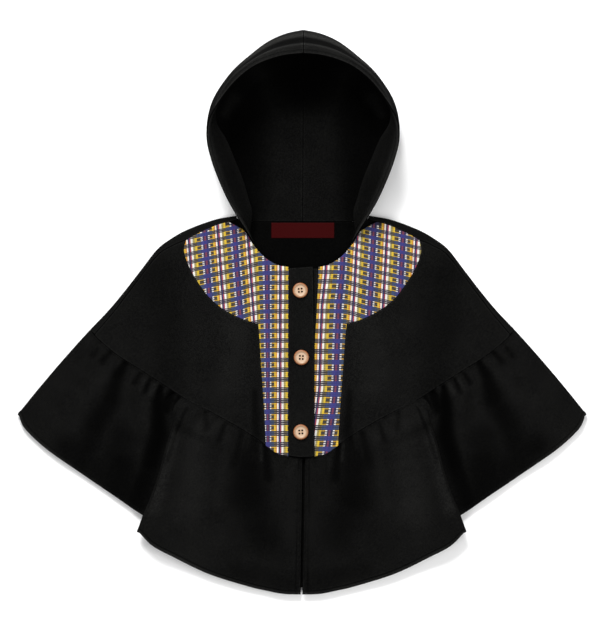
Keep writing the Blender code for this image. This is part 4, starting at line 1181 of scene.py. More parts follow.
@dataclass
class RufflePiece(Piece):
    """Sizes that the front and back ruffles share."""

    hem_cloth: float = 3.4
    hem_depth: float = 7.0
    side_return: float = 6.0
    roll_at_hem: float = 2.35
    side_corner: tuple[float, float] = (411.7, -148.2)
    side_bow: float = 1.6
    drop: float = 190.0
    # Groove of the hem's stitches: distance from the hem, depth, half width
    groove: tuple[float, float, float] = (5.7, 0.3, 0.7)
    # Rows near the hem, as distances from it
    hem_rows: tuple[float, ...] = (9.0, 8.0, 7.2, 6.6, 6.0, 5.4, 4.6, 3.4, 2.3, 1.4, 0.7, 0.25, 0.0)

    def shares(self, between: int) -> Array:
        """Where rows lie, close together at seam and hem.

        Args:
            between: How many rows lie between those of the seam and the hem.

        Returns:
            Shares of the drop.
        """
        top, low = BORDER / self.drop, 1.0 - np.array(self.hem_rows) / self.drop
        inside = top[-1] + (low[0] - top[-1]) * np.linspace(0.0, 1.0, between + 2)[1:-1] ** 1.25
        return np.concatenate([top, inside, low])

    def half(self, share: Array, drop: Array) -> Array:
        """Half the thickness: seam edge, plain cloth, stitched groove, turned hem.

        Args:
            share: Shares of the drop.
            drop: Length of the cloth from seam to hem.

        Returns:
            Half the thickness at each place.
        """
        from_hem, full = (1.0 - share) * drop, self.lines.full
        away, depth, width = self.groove
        turned = turned_hem(from_hem, self.hem_depth)
        half = full + (self.hem_cloth / 2 - full) * turned - depth * bump(from_hem, away, width)
        return half * rounded(from_hem, 1.7, 0.25) * rounded(share * drop, 1.3, 0.35)

    def side_line(self, share: Array) -> tuple[Array, Array]:
        """Outermost line of the side.

        Args:
            share: Shares of the drop.

        Returns:
            Its points there, and its inward direction.
        """
        mid = self.lines.shoulder_mid
        start = mid[-1] - (mid[-1] - mid[-2]) * 0.06
        step = self.side_corner - start
        inwards = unit(np.array([step[1], -step[0]]))
        bow = self.side_bow * 4 * share * (1 - share)
        return start + np.outer(share, step) - np.outer(bow, inwards), inwards

    def side_seam(self, share: Array) -> Array:
        """Seam between front and back ruffle, under the fold of the side.

        Args:
            share: Shares of the drop.

        Returns:
            Its points there.
        """
        line, inwards = self.side_line(np.array([1.0]))
        end = line[0] + inwards * (self.roll_at_hem + self.side_return)
        start = at_length(self.lines.back_seam, [self.lines.seam_length - self.side_return])
        return start + np.outer(share, (end - start)[0]) + inwards * self.lines.seam_lap / 2

    def gather(self, along: Array, below: Array, setting: tuple[float, float, float],
               start: float) -> Array:
        """Height of the gathers.

        Args:
            along: Distance along the seam.
            below: Distance below the seam.
            setting: Height, distance where they are strongest, mean spacing.
            start: Where in their rhythm they begin.

        Returns:
            The height at each place.
        """
        rise, strongest, spacing = setting
        # Waves of unlike lengths, so that no two gathers are alike
        uneven = 0.9 * np.sin(along / 41.0 + start) + 0.6 * np.sin(along / 23.0 + 1.0)
        phase = 2 * math.pi * along / spacing + uneven
        size = rise * (0.75 + 0.25 * np.sin(along / 31.0 + start))
        reach, small = below / strongest, below / (0.45 * strongest)
        main = np.cos(phase) * reach * np.exp(1.0 - reach)
        return size * (main + 0.3 * np.cos(2.3 * phase + 0.7) * small * np.exp(1.0 - small))


@dataclass
class FrontRuffle(RufflePiece):
    """Gathered ruffle on one side of the front, folded over itself."""

    side: Side = Side.LEFT
    fold_radius: float = 2.7
    fold_depth: float = 42.0
    fold_slant: float = 0.6
    fold_opens: float = 0.22
    side_height: float = 6.4
    middle_height: float = 7.0
    # Along the seam: from where the cloth bends and climbs to the fold, and how far it bends past it
    bends_from: float = 100.0
    climbs_from: float = 72.0
    bends_past: float = 45.0
    # Stretch of the hem that is pressed flatter along the seam: start, end, width
    pressed: tuple[float, float, float] = (60.0, 250.0, 50.0)
    # Painted shade in the stitching grooves and painted highlight on the turned edge, at the hem and the
    # slit: tone, distance, half width
    hem_tones: Table = ((-0.8, 5.4, 0.8), (0.45, 2.4, 2))
    slit_tones: Table = ((-0.5, 7.2, 0.7),)
    gathers: tuple[float, float, float] = (1.7, 9.0, 18.6)
    cut: Cut = Cut((0.60, 0.20), 0.093, "ruffle_back", Lay.GATHERED)
    edge_top: dict = field(default_factory=lambda: {Side.LEFT: 8.8, Side.RIGHT: 3.0})
    rhythm: dict = field(default_factory=lambda: {Side.LEFT: 0.0, Side.RIGHT: 1.3})
    # From the centre to the fold, and from there to the side: distance along the seam, hem x, hem y
    middle_part: Table = (
        (0, 1.2, -408.3), (24, 26.8, -407.4), (40, 52.2, -402.5), (62, 76.8, -396.7), (101, 133.4, -379),
        (135, 187, -354.4), (165, 216.6, -339.6), (184, 235.8, -321),
    )
    side_part: Table = (
        (201, 187.9, -304.2), (212, 228.4, -290.7), (238, 271.1, -265.5), (275, 323.3, -230.5),
        (315, 371.2, -196.9), (346, 400.8, -169.1), (366, 409.8, -152),
    )
    # Visible edge of the fold from the seam to the hem: x, y
    fold_edge: Table = (
        (170.4, -127.9), (184.2, -158.3), (195.2, -190.2), (205, -227.9), (217.5, -265.6), (229.1, -293.2),
        (237.8, -317.8),
    )
    # Long soft folds: distance along the seam, half width, height, share of the drop
    folds: dict = field(default_factory=lambda: {
        Side.LEFT: ((52, 11, -1.6, 0.35), (88, 12, 1.3, 0.45), (118, 10, -1.2, 0.3), (150, 11, 1, 0.4),
                    (232, 11, 1.3, 0.35), (262, 12, -1.3, 0.4), (300, 13, 1.2, 0.35), (330, 9, -0.9, 0.3)),
        Side.RIGHT: ((46, 10, -1.5, 0.4), (80, 13, 1.4, 0.4), (112, 10, -1.3, 0.3), (146, 11, 1.1, 0.45),
                     (228, 11, 1.2, 0.3), (256, 12, -1.4, 0.4), (292, 13, 1.3, 0.4), (326, 9, -0.8, 0.3)),
    })
    # Strokes of the gathers and folds, before and after the fold, with their painted shade and light: start
    # x and y, end x and y, half width at start and end, rise, tone
    middle_strokes: Table = (
        (167.5, -136.6, 182, -172.8, 1.9, 2.3, -0.9, -0.6),
        (182, -172.8, 195, -216.3, 2.3, 3.2, -0.7, -0.4),
        (139.9, -145.3, 138.5, -167, 2.9, 5.5, -0.9, -0.45),
        (112.4, -161.2, 119.6, -184.4, 2.9, 4.9, -0.9, -0.45),
        (87.7, -175.7, 96.4, -220.7, 4.3, 8.7, -1.2, -0.6),
        (96.4, -220.7, 99.3, -314.9, 8.7, 14.5, -0.7, -0.1),
        (52.9, -194.6, 50, -239.5, 4.3, 9, -1.4, -0.85),
        (48.6, -239.5, 39.9, -314.9, 8.7, 14.5, -0.9, -0.1),
        (39.9, -314.9, 32.6, -358.4, 14.5, 21.8, -0.2, -0.1), (72, -190, 76, -225, 12, 22, -0.5, -0.65),
        (76, -225, 76, -270, 23, 29, -0.4, -0.75), (76, -270, 52, -325, 29, 24, -0.2, -0.5),
        (186, -180, 214, -282, 10, 12, 0.2, 0.4), (60.2, -191.7, 58.7, -213.4, 2.3, 3.2, 0.8, 0.5),
        (76.1, -180.1, 79, -197.5, 2.2, 3.2, 0.6, 0.3), (16.7, -227.9, 16.7, -336.7, 7.2, 10.2, 0.8, 0.05),
        (145.7, -172.9, 164.6, -293.2, 18.8, 26.1, 0.7, 0.32), (164.6, -293.2, 172, -340, 28, 36, 0, 0.15),
        (109.5, -181.5, 122.5, -278.7, 5.8, 11.6, 1, 0.15), (92.1, -372.9, 16.7, -390.3, 13, 17.4, 0, -0.3),
    )
    side_strokes: Table = (
        (296.5, -52.5, 303.8, -62.6, 3.6, 5.1, -0.7, -0.45),
        (277.7, -58.3, 289.3, -71.3, 3.2, 5.1, -0.9, -0.6), (255.9, -72.8, 268, -92, 4.5, 8, -1.5, -1.2),
        (268, -92, 278, -128, 8, 14, -1.4, -1), (278, -128, 300.9, -165, 14, 17, -1.2, -0.8),
        (300.9, -165, 318.3, -216.3, 17, 21, -0.7, -0.65), (338.6, -194.6, 237.1, -271.4, 20, 24, 0, -0.6),
        (235.6, -88.7, 242.9, -101.8, 2.9, 4.6, -0.8, -0.5),
        (221.1, -97.4, 228.4, -113.4, 2.9, 5.1, -1, -0.6),
        (205.2, -107.6, 208.1, -130.8, 3.6, 9, -1.4, -1.5),
        (208.1, -130.8, 208.1, -177.2, 9, 12, -1.2, -1.7),
        (208.1, -177.2, 221.1, -220.7, 12, 13, -1.2, -1.6), (221.1, -220.7, 242, -275, 13, 17, -1, -1.2),
        (188, -115, 199, -140, 6, 9, -1.1, -1.4), (179.1, -122.1, 184, -134, 3.6, 5, -0.8, -1.1),
        (260.3, -184.4, 280.6, -259.8, 23.2, 31.9, 0, -0.55), (262, -222, 268, -280, 28, 34, 0, -0.85),
        (242.9, -114.8, 238.5, -172.8, 7.2, 10.2, 1.3, -0.15),
        (266.1, -71.3, 312.5, -123.5, 4.3, 10.2, 1.1, 0.1),
        (228.4, -98.9, 232.7, -111.9, 2.9, 4.3, 0.8, 0.3),
        (213.9, -104.7, 219.7, -117.7, 2.9, 4.3, 0.7, 0.3),
    )

    def fold_section(self, share: float, steps: Array) -> list[Array]:
        """The fold cut across at a share of the drop.

        Args:
            share: Share of the drop.
            steps: Places through the fold, 0 to 3.

        Returns:
            Distance out, distance down and fall of the cloth at each place.
        """
        opening = math.pi * float(smooth(share / self.fold_opens))
        depth = self.fold_depth * max(0.0, share - 0.05) / 0.95
        turn = math.pi * self.fold_radius
        place = np.linspace(0.0, 1.0, 61)
        marks = np.concatenate([turn * place, turn + depth * place[1:], turn + depth + turn * place[1:]])
        corners = [0.0, turn, turn + depth, 2 * turn + depth]
        bend = opening * np.interp(marks, corners, [0.0, 1.0, 1.0, 0.0])
        bend, step = (bend[1:] + bend[:-1]) / 2, np.diff(marks)
        out, fall = (np.append(0.0, np.cumsum(step * part)) for part in (np.cos(bend), np.sin(bend)))
        slide = -self.fold_slant * share * np.clip(marks - turn, 0.0, depth)
        wanted = np.interp(steps, [0.0, 1.0, 2.0, 3.0], corners)
        return [np.interp(wanted, marks, values) for values in (out, slide, fall)]

    def grid(self, shares: Array) -> tuple[Array, Array, Array, Array]:
        """Middle of the cloth from the centre to the side.

        Args:
            shares: Shares of the drop at which rows lie.

        Returns:
            The grid, the painted light and shade and the drop at each point, and for each column the
            direction down from the seam and the distance along it.
        """
        lines, turn, start = self.lines, math.pi * self.fold_radius, self.edge_top[self.side]
        middle, outer = np.array(self.middle_part), np.array(self.side_part)
        fold_at = middle[-1, 0]
        middle[0, 0], outer[0, 0], outer[-1, 0] = start, fold_at + 2 * turn, lines.seam_length
        front = np.append(start + BORDER, np.linspace(start + 3.0, fold_at, 112))
        after = np.linspace(outer[0, 0], lines.seam_length, 104)
        before_fold, past_fold = slice(len(front)), slice(-len(after), None)
        hems = [through(part[:, 1:], np.interp(where, part[:, 0], np.arange(len(part))))
                for part, where in ((middle, front), (outer, after))]
        places = np.linspace(0.0, 3.0, 49)
        in_fold = fold_at + 2 * turn * places / 3.0
        along = np.concatenate([front, in_fold[1:-1], after])
        seam, on_seam = at_length(lines.seam, along), at_length(lines.seam, in_fold)
        square = at_length(lines.seam, along, lines.down_from(lines.seam))
        height = lines.front_height(self.side.value * seam[:, 0], seam[:, 1])
        edge = fine(self.fold_edge)
        down = unit(edge[-1] - edge[0])
        across = np.array([-down[1], down[0]])
        fold_line = at_length(edge, shares * lengths(edge)[-1]) - across * self.fold_radius
        calm = smooth(np.abs(along - fold_at - turn) / 12.0 - 0.75)
        calm = calm * smooth((lines.seam_length - along) / 16.0)
        to_fold = ease(front, self.bends_from, fold_at - self.bends_from)
        from_fold = 1.0 - ease(after, after[0], self.bends_past)
        climb = ease(front, self.climbs_from, fold_at - self.climbs_from)
        rows = []
        for begin, v in zip(fold_line, shares):
            out, slide, fall = self.fold_section(float(v), places)
            fold = begin + np.outer(out, across) + np.outer(slide, down)
            fold = on_seam + (fold - on_seam) * smooth(v / 0.12)
            inner = seam[before_fold] + (hems[0] - seam[before_fold]) * v
            inner = inner + np.outer(to_fold, fold[0] - inner[-1])
            outside = seam[past_fold] + (hems[1] - seam[past_fold]) * v
            outside = outside + np.outer(from_fold, fold[-1] - outside[0])
            extra = (self.middle_height - self.side_height) * float(smooth(v / 0.5))
            raised = height + (self.side_height - height) * smooth(v / 0.5)
            raised[before_fold] += extra + climb * (fall[-1] - extra)
            raised[len(front):-len(after)] += fall[-1] - fall[1:-1]
            rows.append(np.column_stack([np.vstack([inner, fold[1:-1], outside]), raised]))
        rows = np.array(rows)
        drops = grid_lengths(rows[..., :2])
        share = shares[:, None]
        rows[..., 2] += calm * self.gather(along, drops, self.gathers, self.rhythm[self.side])
        for where, width, rise, strong in self.folds[self.side]:
            fade = 1 - 0.45 * smooth((share - strong) / (1 - strong))
            rows[..., 2] += calm * rise * bump(along, where, width) * smooth(share / strong) * fade
        tone = np.zeros(rows.shape[:2])
        for table, part in ((self.middle_strokes, before_fold), (self.side_strokes, past_fold)):
            rise, tone[:, part] = strokes(rows[:, part, 0], rows[:, part, 1], table)
            rows[:, part, 2] += rise * calm[part] * smooth(drops[:, part] / 5.0)
        rows[..., :2] -= square * lines.seam_lap / 2 * (1 - share[..., None])
        return rows, tone, drops[-1], square, along

    def build(self) -> Array:
        """Make the piece.

        Returns:
            The line for the stitches of the hem.
        """
        lines, shares = self.lines, self.shares(44)
        grid, tone, total, square, along = self.grid(shares)
        line, inwards = self.side_line(shares)
        under = self.side_seam(shares)
        turns = np.radians(np.arange(90, -91, -15))
        rows = []
        for number, v in enumerate(shares):
            half = lines.full
            if len(BORDER) <= number < len(shares) - 3:
                half = max(float(self.half(np.array(v), total[-1])), half)
            radius = (grid[number, -1, 2] - half) / 2
            over = line[number] + np.outer(radius * (1 - np.cos(turns)), inwards)
            over = np.column_stack([over, half + radius * (1 + np.sin(turns))])
            rows.append(np.vstack([grid[number, :-1], over, [*under[number], half]]))
        middle = mirrored(np.array(rows), self.side)
        extra = middle.shape[1] - grid.shape[1]
        total, along = (np.append(values, np.full(extra, values[-1])) for values in (total, along))
        half = self.half(shares[:, None], total)
        start, end, width = self.pressed
        pressed = ease(along, start, width) * (1.0 - ease(along, end, width))
        half = np.where(half > 1.0, 1.0 + (half - 1.0) * (1.0 - 0.5 * pressed), half)
        middle[..., 2] = np.maximum(middle[..., 2], half)
        normal = grid_normals(middle)
        below = mirrored(np.vstack([square, np.repeat(square[-1:], extra, axis=0)]), self.side)
        normal[0] = without(normal[0], np.pad(below, ((0, 0), (0, 1))))
        normal[middle[..., 2] - half < 0.02] = (0.0, 0.0, np.sign(normal[len(shares) // 2, -1, 2]))
        edge, slit = grid_edge(middle, "tbl"), grid_edge(middle, "l")
        from_hem = (1.0 - shares[:, None]) * total
        half = half * rounded(slit, 1.3, 0.4)
        sheet = from_grid(middle, half, normal, edge)
        # Painted shade in the stitching grooves and along the borders, and painted highlight on the turned
        # edges
        sheet.tone = np.pad(tone, ((0, 0), (0, extra)))
        for away, marks in ((from_hem, self.hem_tones), (slit, self.slit_tones)):
            sheet.tone += sum(shade * bump(away, centre, width) for shade, centre, width in marks)
        sheet.tone -= 0.4 * bump(edge, 2.0, 1.4) * (from_hem > 20.0)
        self.room.cloth(f"ruffle_front_{self.side.word}", sheet, self.finish, self.cut)
        up = normal * np.sign(normal[len(shares) // 2, 20, 2])
        row = int(np.argmin(np.abs((1.0 - shares) * self.drop - self.groove[0])))
        return (middle + up * half[..., None])[row, 2:-10]


@dataclass
class BackRuffle(RufflePiece):
    """Gathered ruffle on the back, flat on the surface."""

    gathers: tuple[float, float, float] = (0.8, 12.0, 29.0)
    cut: Cut = Cut((1.02, 0.20), 0.170, "floor", Lay.GATHERED)
    # Centre to side: distance along the seam, hem x, hem y
    table: Table = (
        (4.5, 0, -398.5), (46, 52.2, -394.4), (96, 114.5, -378.7), (146, 171.1, -349.7),
        (186, 213.2, -314.9), (206, 240.7, -278.7), (246, 290, -245.3), (296, 342.2, -209.7),
        (336, 381.3, -177.2), (357, 404.6, -154.6),
    )

    def build(self) -> None:
        """Make the piece."""
        lines, shares, table = self.lines, self.shares(18), np.array(self.table)
        marks = lengths(lines.back_seam)
        start = float(np.interp(0.0, lines.back_seam[:, 0], marks))
        along = np.linspace(start, marks[-1] - self.side_return, 110)
        table[[0, -1], 0] = along[[0, -1]]
        hem = through(table, np.interp(along, table[:, 0], np.arange(len(table))))[:, 1:]
        share = shares[:, None]
        seam = at_length(lines.back_seam, along)
        seam[0, 0] = 0.0
        drop = np.linalg.norm(hem - seam, axis=1)
        below = at_length(lines.back_seam, along, lines.down_from(lines.back_seam))
        below[0] = (0.0, -1.0)
        plan = seam + (hem - seam) * share[..., None] - below * lines.seam_lap / 2 * (1 - share[..., None])
        half = self.half(share, drop)
        spread = smooth((along - along[-25]) / (along[-1] - along[-25]))
        edge = self.side_seam(shares) - self.side_line(shares)[1] * lines.seam_lap
        plan += (edge - plan[:, -1])[:, None] * spread[:, None]
        wave = self.gather(along, share * drop, self.gathers, 0.4) * smooth((along[-1] - along) / 14.0)
        middle = np.dstack([plan, half + np.maximum(0.0, wave)])
        middle = np.concatenate([mirrored(middle[:, :0:-1], Side.RIGHT), middle], axis=1)
        half = np.concatenate([half[:, :0:-1], half], axis=1)
        normal = grid_normals(middle)
        normal[middle[..., 2] - half < 0.02] = (0.0, 0.0, np.sign(normal[12, len(along), 2]))
        below = np.concatenate([mirrored(below[:0:-1], Side.RIGHT), below])
        normal[0] = without(normal[0], np.pad(below, ((0, 0), (0, 1))))
        sheet = from_grid(middle, half, normal, grid_edge(middle))
        self.room.cloth("ruffle_back", sheet, self.finish, self.cut)


# Hood


@dataclass
class HoodHalf(HalfPiece):
    """Half of the hood, from the neck seam to the seam over the crown."""

    hem_cloth: float = 3.0
    hem_depth: float = 7.0
    columns: int = 120
    cut: Cut = Cut((0.25, 0.37), 0.055, "floor", Lay.DRAPED)
    # One row a station from the neck up the rim to the crown:
    # rim, crease, outer turn, start of the flat back (x, y, z each), centre y
    stations: Table = (
        (71.5, 102.1, 9.6, 80.6, 117.9, 8.9, 91.9, 135.4, 5.4, 80.5, 132.7, 1, 132.4),
        (83.5, 121.1, 19, 75.7, 131.7, 14.5, 95.1, 144.7, 6.8, 80.5, 143.5, 1, 144),
        (96.3, 141.5, 28.5, 74.5, 147.6, 20, 98, 152.8, 7.6, 81.9, 153.4, 1, 154.9),
        (109.2, 164.3, 38, 79.5, 165, 23, 108.5, 168.5, 7.5, 89.2, 170.1, 1, 172.3),
        (121.9, 192.6, 50, 87.7, 192.6, 31, 121.4, 195.5, 10.5, 96.4, 196.9, 1, 192.6),
        (132.4, 221.6, 60, 99.5, 221.6, 39, 131.9, 224.5, 15, 101.5, 224.5, 1, 212.9),
        (138.9, 250.6, 68, 111.4, 249.8, 47, 138.6, 253.5, 20, 105.8, 250.6, 1, 233.2),
        (136.3, 277.4, 74, 126.1, 276.1, 58, 136.9, 281.6, 26, 105.8, 273.8, 1, 253.5),
        (122.1, 302.8, 78, 123.5, 306.2, 65, 126.7, 311.2, 32, 98.6, 295.5, 1, 273.8),
        (98.3, 333.2, 80, 101.8, 339.9, 72, 102.2, 345.4, 36, 81.2, 320.2, 1, 291.2),
        (73.2, 353.8, 80, 74.5, 362.2, 73, 73.4, 372.1, 36, 59.4, 337.6, 1, 308.6),
        (48.6, 365.1, 80, 49.6, 376.1, 73, 49.3, 390.6, 36, 39.1, 349.2, 1, 321.6),
        (24.1, 371.5, 80, 24.6, 384, 73, 24.6, 401.9, 36, 19.6, 356.4, 1, 331.8),
        (0, 373.8, 80, 0, 387.6, 73, 0, 407.3, 36, 0, 359.3, 1, 339),
    )
    # Columns beside the rim, as distances from it, and at the centre, as places on the section
    rim_rows: tuple[float, ...] = (0.0, 0.25, 0.7, 1.4, 2.4, 3.6, 4.6, 5.2, 5.8, 6.4, 7.0, 7.7, 8.6)
    stitch_row: int = 7
    # Groove of the rim's stitches: distance from the rim, depth, half width
    groove: tuple[float, float, float] = (5.5, 0.28, 0.7)
    # Where the crown's folds and the turned hem come in, in stations, and the inside, on the
    # section: start, width
    crown_from: tuple[float, float] = (7.5, 2.5)
    hem_from: tuple[float, float] = (0.8, 1.6)
    inside_from: tuple[float, float] = (1.9, 0.5)
    # Folds over the crown, beside the rim: place on the section, height
    crown_folds: Table = (
        (0, 0), (0.3, 0.2), (0.62, -0.4), (0.93, 1.3), (1.03, 0.9), (1.15, -0.9), (1.4, -1), (1.58, 1.4),
        (1.68, 0.9), (1.85, 0.3), (2.1, 0.5), (2.4, 0), (4, 0),
    )
    # Painted light and shade over the crown, and round the side below it: place on the section, tone
    crown_tones: Table = (
        (0, 0.3), (0.3, 0.25), (0.8, 0.3), (0.94, 0.8), (1.04, 0.2), (1.12, -0.6), (1.36, -0.6),
        (1.44, 0.8), (1.52, 0.9), (1.62, 0.35), (1.9, 0.35), (2.2, 0.1), (2.4, 0), (4, 0),
    )
    side_tones: Table = (
        (0, 0.6), (0.12, 0.55), (0.2, 0.3), (0.3, -0.3), (0.6, -0.4), (0.9, -0.1), (1, 0), (1.2, -0.6),
        (4, 0),
    )
    # Painted shade inside the hood and one painted lit patch, as strokes
    inside_shades: Table = (
        (0, 380, 0, 346, 90, 54, 0, -1.6), (88, 320, 86, 150, 44, 36, 0, -0.85),
        (0, 330, 0, 298, 90, 22, 0, -0.35), (0, 250, 0, 140, 60, 60, 0, -0.2),
        (113, 288, 100, 310, 8, 12, 0, 0.9),
    )

    def sections(self, place: Array) -> tuple[Array, Array]:
        """Middle of the cloth, and the place of each point on its section.

        Args:
            place: Places of the sections along the rim, in stations.

        Returns:
            The grid from the rim to the centre, and the places, 0 to 4.
        """
        table = np.array(self.stations)
        centre = np.column_stack([np.zeros(len(table)), table[:, 12], np.full(len(table), self.lines.full)])
        controls = np.concatenate([table[:, :12].reshape(-1, 4, 3), centre[:, None]], axis=1)
        whole = np.linspace(0.0, 4.0, DENSE)
        columns, params = [], []
        for section in through(controls, place):
            here = np.interp(self.rim_rows, lengths(through(section, whole)), whole)
            onward = here[-1] + (4.0 - here[-1]) * np.linspace(0.0, 1.0, 66)[1:-1]
            params.append(np.concatenate([here, onward, [3.97, 3.985, 3.995, 4.0]]))
            columns.append(through(section, params[-1]))
        return np.stack(columns, axis=1), np.stack(params, axis=1)

    def build(self) -> Array:
        """Make the piece.

        Returns:
            The lines for the stitches on both faces of the rim.
        """
        full, gap = self.lines.full, -self.lines.seam_lap / 2
        last, rim = len(self.stations) - 1.0, BORDER * 0.03
        place = np.concatenate([rim, np.linspace(0.1, last - 0.1, self.columns), last - rim[::-1]])
        middle, param = self.sections(place)
        middle = np.maximum(middle, (gap, -FAR, full))
        middle[:, -1, 0] = middle[-1, :, 0] = gap
        middle = mirrored(middle, self.side)
        normal = grid_normals(middle)
        normal[:, -1, 0] = normal[-1, :, 0] = 0.0
        resting = middle[..., 2] < full + 1e-6
        normal[resting] = (0.0, 0.0, np.sign(normal[-1, 3, 2]))
        normal = unit(normal)
        crown = ease(place, *self.crown_from)[None, :]
        tables = (self.crown_folds, self.crown_tones, self.side_tones)
        fold, crown_tone, side_tone = (np.interp(param, *np.array(table).T) for table in tables)
        middle = middle - self.side.value * normal * (fold * crown)[..., None]
        from_rim = grid_edge(middle, "t")
        hem = turned_hem(from_rim, self.hem_depth) * ease(place, *self.hem_from)[None, :]
        away, depth, width = self.groove
        half = full + (self.hem_cloth / 2 - full) * hem - depth * bump(from_rim, away, width)
        half = half * rounded(from_rim, 1.5, 0.3)
        half = np.where(resting, half, half * rounded(grid_edge(middle, "rb"), 1.3, 0.35))
        sheet = from_grid(middle, half, normal, grid_edge(middle))
        # Painted light and shade over the crown and side, painted shade deep inside, and painted shade in
        # the groove of the rim's stitches
        inside = ease(param, *self.inside_from)
        deep = strokes(np.abs(middle[..., 0]), middle[..., 1], self.inside_shades)[1]
        tone = crown_tone * crown + side_tone * (1.0 - crown)
        sheet.tone = tone + inside * deep - 0.6 * bump(from_rim, away, 0.8)
        self.room.cloth(f"hood_{self.side.word}", sheet, self.finish, self.cut)
        lift = (normal * half[..., None])[self.stitch_row]
        return np.stack([middle[self.stitch_row] - lift, middle[self.stitch_row] + lift])[:, 14:-3]


# Trims


@dataclass
class NeckLabel(Piece):
    """Bare woven label at the back of the neck."""

    thickness: float = 0.6
    corners: Table = ((-45.4, 130.5), (-45.4, 108.4), (45.6, 108.4), (45.6, 130.5))
    cut: Cut = Cut((0.091, 0.0221), None, "back_panel")

    def build(self) -> None:
        """Make the piece."""
        corners, outline = np.array(self.corners), []
        for start, end in zip(corners, np.roll(corners, -1, axis=0)):
            count = int(np.linalg.norm(end - start) / 3.0) + 1
            outline.append(start + np.outer(np.arange(count) / count, end - start))
        level = self.lines.cloth + 0.1 + self.thickness / 2
        sheet = from_outline(
            np.vstack(outline), 3.0, lambda x, y: np.full(np.shape(x), level), self.thickness / 2, 0.0)
        sheet.half *= rounded(sheet.edge, 0.6, 0.4)
        self.room.cloth("neck_label", sheet, self.finish, self.cut, "label_satin")


@dataclass
class Stitching:
    """Thread of one line of sewing."""

    room: Workroom
    finish: Material
    name: str
    length: float = 3.0
    pitch: float = 3.8
    width: float = 0.5
    sides: int = 6

    def tubes(self, paths: list[Array]) -> None:
        """Make short rounded rods of thread.

        Args:
            paths: The middle line of each rod.
        """
        around = np.linspace(0.0, 2 * math.pi, self.sides, endpoint=False)[None, :, None]
        points: list[Array] = []
        faces: Faces = []
        for path in paths:
            along = unit(np.gradient(path, axis=0))
            flat = unit(np.cross(along, (0.0, 0.0, 1.0)))
            up = np.cross(flat, along)
            taper = self.width / 2 * np.sin(np.linspace(0.14, 0.86, len(path)) * math.pi) ** 0.4
            ring = flat[:, None] * np.cos(around) + up[:, None] * np.sin(around)
            rod, rod_faces = loft(path[:, None] + ring * taper[:, None, None])
            base = len(points) * len(rod)
            faces += [tuple(base + corner for corner in face) for face in rod_faces]
            points.append(rod)
        self.room.body(self.name, np.vstack(points), faces, self.finish, "black_wool")

    def along(self, line: Array, lift: float = 0.05) -> None:
        """Sew a line of stitches.

        Args:
            line: Points on the cloth's face.
            lift: How far the thread's middle lies over the face.
        """
        paths = []
        for start in np.arange(1.0, lengths(line)[-1] - self.length - 1.0, self.pitch):
            path = at_length(line, start + self.length * np.array([0.0, 0.25, 0.5, 0.75, 1.0]))
            path[:, 2] += lift - np.array([0.2, 0.0, 0.0, 0.0, 0.2])
            paths.append(path)
        self.tubes(paths)


